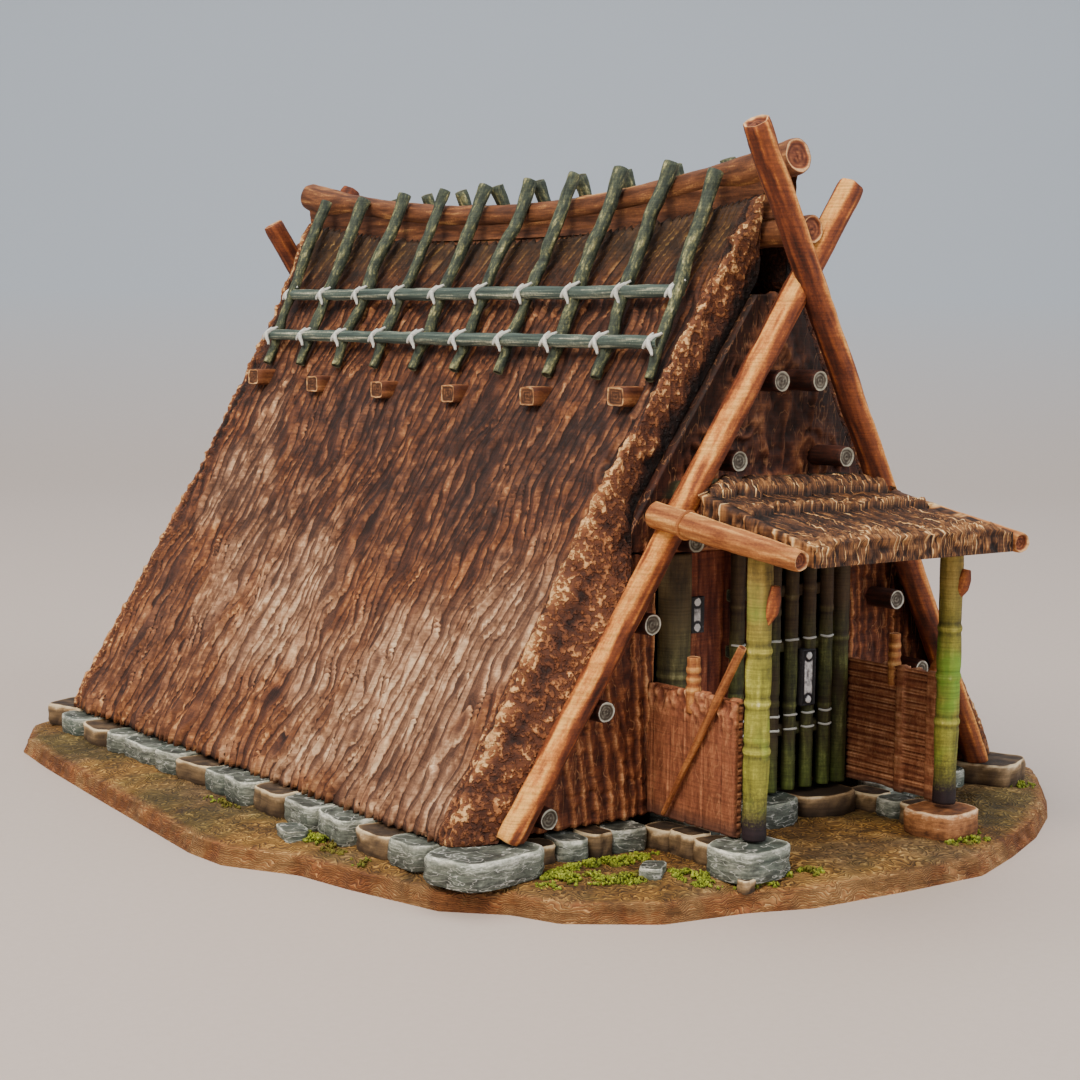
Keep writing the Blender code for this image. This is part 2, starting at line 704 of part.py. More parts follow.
def build_porch(bamboo, boards, log_material, thatch):
    for side, word in ((-1, "left"), (1, "right")):
        drop = RIGHT_DROP if side > 0 else 0.0
        roof_share = (POST_Y - ROOF_BACK_Y) / (ROOF_FRONT_Y - ROOF_BACK_Y)
        roof_low = ROOF_BACK_Z_MM[0] + roof_share * (ROOF_FRONT_Z_MM[0] - ROOF_BACK_Z_MM[0])
        post_top = roof_low * MM - 0.5 * MM - 0.5 * drop
        x = side * POST_X
        post = rod(f"porch_post_{word}", ((x, POST_Y, POST_BOTTOM_Z), (x, POST_Y, post_top)),
                   (POST_RADIUS, POST_RADIUS), 12)
        paint(post, bamboo)

        back = Vector((side * RAIL_BACK.x, RAIL_BACK.y, RAIL_BACK.z - drop))
        front = Vector((side * RAIL_FRONT.x, RAIL_FRONT.y, RAIL_FRONT.z))
        rail = rod(f"porch_rail_{word}", (back, front), (RAIL_RADIUS_BACK, RAIL_RADIUS_FRONT), 12)
        crossed = short_path() if side < 0 else long_path()
        paint(cut(rail, [rake_notch(crossed)]), log_material)

        xs = sorted((side * SCREEN_INNER_X, side * SCREEN_OUTER_X))
        screen = box(f"porch_screen_{word}", (xs[0], SCREEN_FRONT_Y, POST_BOTTOM_Z),
                     (xs[1], SCREEN_BACK_Y, SCREEN_TOP_Z))
        peg_x = side * 0.5 * (SCREEN_INNER_X + SCREEN_OUTER_X)
        peg = rod("peg", ((peg_x, PEG_Y, SCREEN_TOP_Z - MM), (peg_x, PEG_Y, PEG_TOP_Z)),
                  (PEG_RADIUS, PEG_RADIUS * 0.8), 8)
        paint(fuse(screen, [peg]), boards)

        brace_x = side * BRACE_X
        brace = rod(f"porch_brace_{word}", ((brace_x, *BRACE_TOP), (brace_x, *BRACE_FOOT)),
                    (BRACE_RADIUS, BRACE_RADIUS), 8)
        paint(brace, log_material)

    rings = []
    for y, reach, heights, drop in (
        (ROOF_BACK_Y, ROOF_BACK_HALF_WIDTH, ROOF_BACK_Z_MM, RIGHT_DROP),
        (ROOF_MID_Y, ROOF_HALF_WIDTH, ROOF_MID_Z_MM, RIGHT_DROP),
        (ROOF_FRONT_Y, ROOF_HALF_WIDTH, ROOF_FRONT_Z_MM, 0.0),
    ):
        low, high = (h * MM for h in heights)
        rings.append([
            Vector((-reach, y, low)), Vector((reach, y, low - drop)),
            Vector((reach, y, high - drop)), Vector((-reach, y, high)),
        ])
    roof = loft("porch_roof", rings)
    paint(cut(roof, [rake_notch(short_path()), rake_notch(long_path())]), thatch)


def main():
    clear_scene()
    earth = make_material("earth", (0.36, 0.20, 0.09), 0.85)
    stone = make_material("stone", (0.20, 0.22, 0.20), 0.8)
    rust_stone = make_material("rust_stone", (0.40, 0.20, 0.09), 0.8)
    thatch = make_material("thatch", (0.30, 0.13, 0.06), 0.9)
    porch_thatch = make_material("porch_thatch", (0.38, 0.22, 0.11), 0.9)
    log = make_material("brown_log", (0.30, 0.13, 0.06), 0.75)
    pole = make_material("green_pole", (0.10, 0.13, 0.09), 0.75)
    wall = make_material("wall_board", (0.14, 0.05, 0.03), 0.85)
    bamboo = make_material("bamboo", (0.35, 0.37, 0.08), 0.6)
    board = make_material("red_board", (0.20, 0.05, 0.03), 0.8)

    build_base(earth)
    build_stones(stone, rust_stone)
    build_rakes(log)
    build_thatch(thatch)
    build_beams(log)
    build_ridge(log, log)
    build_saddle(pole)
    build_walls(wall)
    build_doors(bamboo, board, bamboo)
    build_porch(bamboo, board, log, porch_thatch)


main()
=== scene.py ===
import math

import bpy
import numpy as np
from mathutils import Matrix, Vector


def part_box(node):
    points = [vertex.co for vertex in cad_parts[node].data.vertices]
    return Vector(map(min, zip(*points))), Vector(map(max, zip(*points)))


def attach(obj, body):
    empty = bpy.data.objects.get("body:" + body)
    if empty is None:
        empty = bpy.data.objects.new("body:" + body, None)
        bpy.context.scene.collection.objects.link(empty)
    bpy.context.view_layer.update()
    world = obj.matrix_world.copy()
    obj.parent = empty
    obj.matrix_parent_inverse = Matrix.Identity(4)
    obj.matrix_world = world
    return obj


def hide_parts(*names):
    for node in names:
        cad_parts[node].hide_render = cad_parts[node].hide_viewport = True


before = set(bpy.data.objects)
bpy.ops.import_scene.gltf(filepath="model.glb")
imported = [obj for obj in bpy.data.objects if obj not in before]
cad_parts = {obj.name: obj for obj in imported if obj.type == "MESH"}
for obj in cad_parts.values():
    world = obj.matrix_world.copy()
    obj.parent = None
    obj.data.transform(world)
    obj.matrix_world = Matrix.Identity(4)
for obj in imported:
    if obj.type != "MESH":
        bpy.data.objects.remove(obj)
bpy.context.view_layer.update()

# ---- dimensions, in mm
MM = 0.001
HALF_LENGTH, HALF_SPREAD, FOOT_Z, CROSS_Z = 65.5, 48, 7.5, 85.7
LEAN = 0.09
SLOPE = HALF_SPREAD / (CROSS_Z - FOOT_Z)
SLOPE_COS = math.cos(math.atan(SLOPE))
RAKE_RADIUS = 2.1
THATCH_OUTER, THATCH_INNER, THATCH_LEAN_Z, KNEE_Z = 6.9, 2.4, 51.5, 80
THATCH_HALF_LENGTH, SLOPE_LENGTH = 62.1, 98
LOWER_LOG_RADIUS = 2.1
POLE_RADIUS, POLE_COUNT, POLE_LOW_Z = 1.05, 10, 71
POLE_OFFSET = THATCH_OUTER + 0.2 + POLE_RADIUS
TIE_RADIUS = 1.05
TIE_OFFSET = POLE_OFFSET + 1.5
TIES = ((84, -58.4, 57), (76.4, -59.2, 56))
STONE_LOW_Z, STONE_TOP_Z = 3.4, 7.3
WALL_FRONT_Y, WALL_LOW_Z, WALL_TOP_Z = -63, 7.5, 83.6
DOORWAY_HALF_WIDTH, DOORWAY_TOP_Z = 19.9, 46
BEAM_PITCH = 21.9
PURLIN_HEIGHTS = (10, 24.5, 36.5, 48, 59.5, 71)
CANE_Y, CANE_RADIUS, CANE_PITCH = -63.5, 1.14, 3.72
RIVET_RADIUS = 0.62
SIDES = ((-1, "left"), (1, "right"))
POST_X, POST_Y, SCREEN_X = 19.4, -84.2, 20.6
PORCH_BACK_Y, PORCH_BEND_Y, PORCH_FRONT_Y, PORCH_SLOPE_LENGTH = -67.6, -72.4, -95.2, 28
GROUND_TOP_Z = 4.1


def slope_x(offset, z):
    return -HALF_SPREAD + (z - FOOT_Z) * SLOPE - offset / SLOPE_COS


def gable_y(z):
    return -HALF_LENGTH - LEAN * (z - FOOT_Z)


def wall_y(z):
    return WALL_FRONT_Y - LEAN * np.maximum(z - THATCH_LEAN_Z, 0)


def ridge_radius(y):
    return 2 + 0.75 * np.clip((abs(y) - 53) / 7, 0, 1)


def ridge_centre(y):
    return 99.6 + 0.00142 * np.square(y) - ridge_radius(y)


def lower_log_z(y):
    return 91.6 + np.square(y / 73) * 1.4


def verge_y(z):
    low = THATCH_HALF_LENGTH - 0.7 * (z - FOOT_Z) / (THATCH_LEAN_Z - FOOT_Z)
    return np.where(z > THATCH_LEAN_Z, 61.4 + LEAN * (z - THATCH_LEAN_Z), low)


# ---- seeded noise
def lattice(ix, iy, iz, seed):
    h = (ix * 374761393 + iy * 668265263 + iz * 1442695041 + seed * 974634777) & 0xFFFFFFFF
    h = ((h ^ (h >> 13)) * 1274126177) & 0xFFFFFFFF
    return ((h ^ (h >> 16)) & 0xFFFF) / 32767.5 - 1


def noise(x, y=0, z=0, seed=0):
    """Smooth value noise from -1 to 1."""
    x, y, z = np.broadcast_arrays(np.asarray(x, float), np.asarray(y, float), np.asarray(z, float))
    fx, fy, fz = np.floor(x), np.floor(y), np.floor(z)
    tx, ty, tz = x - fx, y - fy, z - fz
    tx, ty, tz = (t * t * (3 - 2 * t) for t in (tx, ty, tz))
    ix, iy, iz = fx.astype(np.int64), fy.astype(np.int64), fz.astype(np.int64)
    total = 0
    for a in (0, 1):
        for b in (0, 1):
            for c in (0, 1):
                weight = (tx if a else 1 - tx) * (ty if b else 1 - ty) * (tz if c else 1 - tz)
                total = total + weight * lattice(ix + a, iy + b, iz + c, seed)
    return total


def fractal(x, y=0, z=0, seed=0, octaves=3):
    total, size = 0, 0
    for k in range(octaves):
        total = total + noise(x * 2 ** k, y * 2 ** k, z * 2 ** k, seed + 17 * k) * 0.55 ** k
        size += 0.55 ** k
    return total / size


def smoothstep(low, high, x):
    t = np.clip((x - low) / (high - low), 0, 1)
    return t * t * (3 - 2 * t)


def bump(x, centre, width):
    return np.exp(-((x - centre) / width) ** 2)


def unit(x):
    return np.clip(x, 0, 1)


def blend(a, b, share):
    return a * (1 - share) + b * share


def xyz(x, y, z):
    return np.stack(np.broadcast_arrays(x, y, z), -1)


def plane(first, second):
    """Two coordinates over a grid, each from (start, end, count)."""
    return np.meshgrid(np.linspace(*first), np.linspace(*second), indexing="ij")


# ---- mesh helpers
# A part is (points in mm, faces, data). The columns of data are the relief from 0 (hollow, or painted
# shade) to 1 (crest, or painted highlight), the tint (share of the second paint), the mask (0 where
# straw lines show) and the place in the grain.
def grid_faces(nu, nv, close_v=False):
    a, b = np.meshgrid(np.arange(nu - 1), np.arange(nv if close_v else nv - 1), indexing="ij")
    a, b = a.ravel(), b.ravel()
    a1, b1 = a + 1, (b + 1) % nv
    return np.stack([a * nv + b, a1 * nv + b, a1 * nv + b1, a * nv + b1], 1)


def grid_normals(grid):
    normal = np.cross(np.gradient(grid, axis=0), np.gradient(grid, axis=1))
    return normal / np.maximum(np.linalg.norm(normal, axis=2, keepdims=True), 1e-9)


def part(points, faces, relief, tint, grain, mask=1):
    points = np.asarray(points, float).reshape(-1, 3)
    data = np.empty((len(points), 6))
    for column, values in enumerate((relief, tint, mask)):
        data[:, column] = np.broadcast_to(np.asarray(values, float).ravel(), len(points))
    data[:, 3:] = np.asarray(grain, float).reshape(-1, 3)
    return points, np.asarray(faces, np.int64), data


def moved(piece, place):
    """The same part with its points changed by the function place."""
    return place(piece[0]), piece[1], piece[2]


def mirrored_x(piece):
    return piece[0] * (-1, 1, 1), piece[1][:, ::-1], piece[2]


def turned(piece):
    return piece[0] * (-1, -1, 1), piece[1], piece[2]


def in_scene(name, data):
    obj = bpy.data.objects.new(name, data)
    bpy.context.scene.collection.objects.link(obj)
    return obj


def model(name, parts, paint, node=None, body="house"):
    """One object from its parts, riding on a body. It stands for the node, if one is named."""
    points, faces, data = zip(*parts)
    starts = np.cumsum([0] + [len(p) for p in points])
    faces = [f + start for f, start in zip(faces, starts)]
    points, faces, data = map(np.concatenate, (points, faces, data))
    mesh = bpy.data.meshes.new(name)
    mesh.vertices.add(len(points))
    mesh.vertices.foreach_set("co", (points * MM).ravel())
    mesh.loops.add(faces.size)
    mesh.loops.foreach_set("vertex_index", faces.ravel())
    mesh.polygons.add(len(faces))
    mesh.polygons.foreach_set("loop_start", np.arange(len(faces)) * 4)
    mesh.polygons.foreach_set("use_smooth", np.ones(len(faces), bool))
    mesh.update(calc_edges=True)
    mesh.validate()
    for key, kind, values in (("relief", "FLOAT", data[:, 0]), ("tint", "FLOAT", data[:, 1]),
                              ("mask", "FLOAT", data[:, 2]), ("grain", "FLOAT_VECTOR", data[:, 3:])):
        layer = mesh.attributes.new(key, kind, "POINT")
        layer.data.foreach_set("vector" if kind == "FLOAT_VECTOR" else "value",
                               values.astype(np.float32).ravel())
    obj = in_scene(name, mesh)
    mesh.materials.append(materials[paint])
    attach(obj, body)
    if node:
        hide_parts(node)


def skin(outer, inner, wrap, relief, back_step=8):
    """A slab: a fine outer grid, edges that wrap round to the inner grid, and a coarse back.
    relief(u, v, depth, x, y, z) gives the height in mm, the relief and the tint, and it may add the
    grain place and the mask. depth runs over the edges from 0 at the face to 1 at the inner grid."""
    nu, nv = outer.shape[:2]
    iu, iv = np.meshgrid(np.arange(-wrap, nu + wrap), np.arange(-wrap, nv + wrap), indexing="ij")
    cu, cv = np.clip(iu, 0, nu - 1), np.clip(iv, 0, nv - 1)
    depth = np.maximum(abs(iu - cu), abs(iv - cv)) / wrap
    grid = outer[cu, cv] * (1 - depth[..., None]) + inner[cu, cv] * depth[..., None]
    normal = grid_normals(grid)
    if (normal[wrap + nu // 2, wrap + nv // 2] @ (outer - inner)[nu // 2, nv // 2]) < 0:
        normal = -normal
    x, y, z = np.moveaxis(grid, -1, 0)
    height, shade, tint, *extra = relief(cu / (nu - 1), cv / (nv - 1), depth, x, y, z)
    grain, mask = extra or (grid, 1)
    points = grid + normal * (height * (depth < 1))[..., None]
    front = part(points, grid_faces(*grid.shape[:2]), shade, tint, grain, mask)
    coarse = inner[np.r_[0:nu - 1:back_step, nu - 1]][:, np.r_[0:nv - 1:back_step, nv - 1]]
    return [front, part(coarse, grid_faces(*coarse.shape[:2]), 0.3, 0, coarse)]


def relax(line):
    """Move each inner value of the line halfway to the mean of its neighbours."""
    line[1:-1] = 0.25 * line[:-2] + 0.5 * line[1:-1] + 0.25 * line[2:]


def resample(path, step):
    """Points along a smooth line through the path, step mm apart."""
    path = np.asarray(path, float)
    knots = np.r_[0, np.cumsum(np.linalg.norm(np.diff(path, axis=0), axis=1))]
    count = max(4, int(round(knots[-1] / step)) + 1)
    along = np.linspace(0, knots[-1], count)
    line = np.stack([np.interp(along, knots, path[:, k]) for k in range(3)], 1)
    if len(path) > 2:
        for _ in range(4):
            relax(line)
    return line, along


# share of the radius, share of the dish, and relief of each ring of an end
END_RINGS = ((0.93, -0.2, 0.95), (0.83, 0.3, 0.8), (0.7, 0.85, 0.22), (0.56, 1, 0.55),
             (0.4, 0.95, 0.25), (0.22, 1, 0.5), (0.03, 1, 0.2))


def log(path, radii, sides=18, step=0.6, bark=0.16, fibre=1, seed=1, crook=0, square=0,
        aspect=1, nodes=(), node_size=0, dish=0.1, facets=0, light=None, dark=0):
    """A round, faceted or squared log with fibres along it and rings on its two dished ends.
    radii run evenly from start to end, and nodes are heights of bamboo joints along it. light is
    (angle, half width, strength) of a painted highlight on the side that the lamp lights, and dark is
    taken off the relief all round: a darker tone, and painted shade on the sides that the highlight
    misses and on logs that stand in shade."""
    line, along = resample(path, step)
    length = along[-1]
    if crook:
        fade = np.minimum(1, np.minimum(along, length - along) / 4 + 0.25)
        for axis in range(3):
            line[:, axis] += crook * fade * fractal(along / 7, axis * 9.7, 0, seed + 3, 2)
    tangent = np.gradient(line, axis=0)
    tangent /= np.linalg.norm(tangent, axis=1, keepdims=True)
    reference = (0, 0, 1) if abs(tangent[len(line) // 2][2]) < 0.8 else (0, 1, 0)
    side = np.cross(tangent, np.array(reference, float))
    side /= np.linalg.norm(side, axis=1, keepdims=True)
    up = np.cross(side, tangent)
    radius = np.interp(along, np.linspace(0, length, len(radii)), radii)

    theta = np.arange(sides) * 2 * math.pi / sides
    cos, sin = np.cos(theta), np.sin(theta)
    if square:
        power = 1 / (abs(cos) ** (2 + square) + abs(sin) ** (2 + square)) ** (1 / (2 + square))
        cos, sin = cos * power, sin * power
    a = along[:, None]
    reach = radius[:, None] * np.ones(sides)
    streak = fractal(np.cos(theta) * 2.1 * fibre, np.sin(theta) * 2.1 * fibre, a * 0.11, seed, 3)
    lumps = fractal(np.cos(theta) * 1.1, np.sin(theta) * 1.1, a * 0.42, seed + 31, 2)
    shade = streak * 0.7 + lumps * 0.4 - dark
    change = bark * (streak + 0.7 * lumps)
    if facets:
        twist = theta + 0.3 * noise(a / 20, 0, 0, seed + 8)
        turn = (twist * facets / (2 * math.pi)) % 1 - 0.5
        flat = math.cos(math.pi / facets) / np.cos(2 * math.pi / facets * turn)
        reach = reach * (0.4 + 0.6 * flat)
        shade = shade + 0.8 * smoothstep(0.32, 0.48, abs(turn)) - 0.2
    # painted highlight on one side of the log, centred on the light angle
    if light:
        angle = (theta - math.radians(light[0]) + math.pi) % (2 * math.pi) - math.pi
        shade = shade + light[2] * bump(angle, 0, math.radians(light[1])) * (0.8 + 0.6 * streak)
    for height in nodes:
        ring = bump(a, height, 0.42)
        groove = bump(a, height - 0.75, 0.3) + bump(a, height + 0.8, 0.35)
        change = change + node_size * (ring - 0.55 * groove)
        shade = shade + 0.8 * ring - 0.7 * groove
    size = reach + change
    size[[0, -1]] *= 0.955
    points = (line[:, None] + side[:, None] * (size * cos)[..., None] * aspect
              + up[:, None] * (size * sin)[..., None])
    relief = unit(0.5 + 0.5 * shade)
    local = xyz(reach * cos, reach * sin, a)
    groups = [points], [relief], [np.zeros_like(relief)], [local]
    for end, sign in ((0, -1), (-1, 1)):
        centre, cap, cap_relief = line[end], [], []
        for share, sunk, level in END_RINGS:
            wave = noise(cos * 1.6, sin * 1.6, share * 3, seed + 5)
            share *= 1 + 0.12 * (share < 0.9) * wave
            cap.append(centre + (points[end] - centre) * np.reshape(share, (-1, 1))
                       - tangent[end] * (sign * dish * (sunk + 0.35 * wave[:, None])))
            cap_relief.append(level + 0.22 * noise(theta * 2, share * 5, 0, seed + 6))
        cap, cap_relief = np.array(cap)[::sign], np.array(cap_relief)[::sign]
        cap_grain = np.broadcast_to(local[end], cap.shape) * 0.6
        for group, values in zip(groups, (cap, cap_relief, np.ones_like(cap_relief), cap_grain)):
            group.insert(0 if sign < 0 else len(group), values)
    points, relief, tint, grain = map(np.concatenate, groups)
    return part(points, grid_faces(len(points), sides, close_v=True), relief, tint, grain)


# share of the reach, share of the height and brightness of each level of a stone
STONE_LEVELS = (
    (0.97, 0, 0.05), (1.02, 0.22, 0.25), (1, 0.45, 0.4), (1.01, 0.68, 0.46), (1, 0.86, 0.74),
    (0.98, 0.95, 1), (0.95, 1, 0.95), (0.92, 0.985, 0.4), (0.8, 0.975, 0.16), (0.6, 0.97, 0.14),
    (0.4, 0.965, 0.2), (0.2, 0.965, 0.14), (0.01, 0.965, 0.14))


def stone(x, y, reach_x, reach_y, low, top, seed, turn=0, around=34, tint=0, dark=0):
    """One flat worn stone with chipped edges."""
    theta = np.arange(around) * 2 * math.pi / around
    cos, sin = np.cos(theta), np.sin(theta)
    corner = 1 / (abs(cos) ** 4.2 + abs(sin) ** 4.2) ** (1 / 4.2)
    outline = corner * (1 + 0.09 * noise(cos * 1.3 + seed, sin * 1.3, 0, seed)
                        + 0.045 * noise(cos * 3.5 + seed, sin * 3.5, 0, seed + 2))
    share, height, bright = (np.array(column)[:, None] for column in zip(*STONE_LEVELS))
    cx, cy = cos * outline * share, sin * outline * share
    pz = low + (top - low) * height + 0 * cx
    px, py = cx * reach_x, cy * reach_y
    rough = fractal(px / 1.5 + seed, py / 1.5, pz / 0.9, seed + 1, 3)
    side = height < 0.97
    push = (0.26 * side + 0.05) * rough * (share > 0.5)
    px, py = px + cos * push, py + sin * push
    pz = np.minimum(pz + 0.12 * rough * (height > 0.8), top)
    c, s = math.cos(turn), math.sin(turn)
    points = xyz(x + c * px - s * py, y + s * px + c * py, pz)
    relief = unit(bright + 0.5 * rough - dark)
    return part(points, grid_faces(len(STONE_LEVELS), around, close_v=True), relief, tint, points)


# ---- materials
def linear(rgb):
    return tuple((c / 255 / 12.92) if c <= 10.3 else ((c / 255 + 0.055) / 1.055) ** 2.4
                 for c in rgb) + (1,)


class Nodes:
    """A small helper that adds and links shader nodes."""

    def __init__(self, name):
        self.material = bpy.data.materials.new(name)
        self.material.use_nodes = True
        self.tree = self.material.node_tree
        self.shader = self.tree.nodes["Principled BSDF"]
        self.object = self.add("TexCoord").outputs["Object"]

    def add(self, kind, inputs=(), **settings):
        node = self.tree.nodes.new("ShaderNode" + kind)
        for key, value in settings.items():
            setattr(node, key, value)
        for socket, value in dict(inputs).items():
            self.set(node.inputs[socket], value)
        return node

    def set(self, socket, value):
        if isinstance(value, bpy.types.NodeSocket):
            self.tree.links.new(value, socket)
        else:
            socket.default_value = value

    def attribute(self, name, output="Fac"):
        return self.add("Attribute", attribute_name=name).outputs[output]

    def math(self, operation, a, b=0):
        return self.add("Math", {0: a, 1: b}, operation=operation).outputs[0]

    def total(self, *terms):
        """Sum of (value, factor) pairs."""
        result = None
        for value, factor in terms:
            term = self.math("MULTIPLY", value, factor)
            result = term if result is None else self.math("ADD", result, term)
        return result

    def noise(self, vector, scale, detail=3, rough=0.6, stretch=None):
        if stretch:
            vector = self.add("Mapping", {"Vector": vector, "Scale": stretch}).outputs[0]
        node = self.add("TexNoise", {"Vector": vector, "Scale": scale,
                                               "Detail": detail, "Roughness": rough})
        return node.outputs["Fac"]

    def ramp(self, value, stops):
        """Each stop is its place in percent, and then a grey from 0 to 1 or a colour from 0 to 255."""
        node = self.add("ValToRGB", {"Fac": value})
        elements = node.color_ramp.elements
        while len(elements) < len(stops):
            elements.new(0.5)
        for element, (place, *shade) in zip(elements, stops):
            element.position = place / 100
            element.color = linear(shade) if len(shade) == 3 else (*shade * 3, 1)
        return node.outputs[0]

    def mix(self, share, a, b, blend="MIX"):
        node = self.add("Mix", data_type="RGBA", blend_type=blend)
        self.set(node.inputs[0], share)
        for socket, value in ((node.inputs[6], a), (node.inputs[7], b)):
            self.set(socket, linear(value) if isinstance(value, tuple) else value)
        return node.outputs[2]

    def remap(self, value, low, high, to_low=0, to_high=1):
        node = self.add("MapRange", {"Value": value, "From Min": low, "From Max": high,
                                               "To Min": to_low, "To Max": to_high})
        return node.outputs[0]

    def over(self, color, other, value, low, high, amount=1, blend="MIX"):
        """Another colour over this one, from none of it at low to amount at high."""
        return self.mix(self.remap(value, low, high, 0, amount), color, other, blend)

    def split(self, vector):
        return self.add("SeparateXYZ", {0: vector}).outputs

    def centred(self, value):
        return self.math("SUBTRACT", value, 0.5)

    def finish(self, color, roughness, bumps, layers=None, wash=(70, 44, 34)):
        """bumps is a list of (height, distance in metres, strength). layers is the amount of wash in
        the uneven level lines that the print's 0.2 mm layers leave, and their distance and strength."""
        if layers:
            lines = self.noise(self.object, 1, 2, 0.6, (110, 110, 3600))
            color = self.over(color, wash, lines, 0.58, 0.36, layers[0], "MULTIPLY")
            bumps.append((lines, *layers[1:]))
        normal = None
        for height, distance, strength in bumps:
            node = self.add("Bump", {"Height": height, "Distance": distance,
                                               "Strength": strength})
            if normal is not None:
                self.set(node.inputs["Normal"], normal)
            normal = node.outputs[0]
        self.set(self.shader.inputs["Base Color"], color)
        self.set(self.shader.inputs["Roughness"], roughness)
        self.set(self.shader.inputs["Normal"], normal)
        self.shader.inputs["Specular IOR Level"].default_value = 0.35
        return self.material


def painted(name, stops, second=None, streak=(1, 1, 0.12), streak_scale=0.9, streak_share=0.5,
            zones=(), lines=None, blotch=None, rough=(0.62, 0.85), level=0.3, fine=0.5):
    """Brush-painted resin: a dark wash in the hollows, the base tone, and dry-brushed crests, all picked
    by the relief, which on some parts also carries painted light and shade.
    second is the paint where the tint is 1; zones are (from z, to z, colour, amount) in mm;
    lines are (colour, scale, stretch, width, amount) of thin brushed lines."""
    n = Nodes(name)
    grain, relief, tint = n.attribute("grain", "Vector"), n.attribute("relief"), n.attribute("tint")
    streaks = n.noise(grain, streak_scale, 5, 0.65, streak)
    small = n.noise(grain, 2.6, 4, 0.7)
    value = n.total((relief, 1 - streak_share), (n.remap(streaks, 0.28, 0.72), streak_share),
                    (n.centred(small), 0.5))
    color = n.ramp(value, stops)
    if blotch:
        rgb, scale, low, high = blotch
        color = n.over(color, rgb, n.noise(n.object, scale, 3, 0.6), low, high, 0.7)
    if lines:
        rgb, scale, stretch, width, amount = lines
        ridge = n.math("ABSOLUTE", n.centred(n.noise(grain, scale, 2, 0.55, stretch)))
        color = n.over(color, rgb, ridge, width, 0, amount)
    if zones:
        height = n.total((n.split(n.object)[2], 1), (n.centred(small), 0.005))
        for low, high, rgb, amount in zones:
            shade = n.over(tuple(0.55 * c for c in rgb), tuple(min(255, 1.4 * c) for c in rgb),
                           value, 0.2, 0.9)
            color = n.over(color, shade, height, low * MM, high * MM, amount)
    if second:
        other = n.ramp(n.total((relief, 0.85), (small, 0.3)), second)
        color = n.over(color, other, tint, 0.3, 0.7)
    fine_noise = n.noise(grain, 5, 5, 0.7, (1, 1, 0.35))
    return n.finish(color, n.remap(small, 0.3, 0.7, *rough),
                    [(streaks, 0.00012, fine), (fine_noise, 0.00006, fine)],
                    (level, 0.00009, level * 1.6))


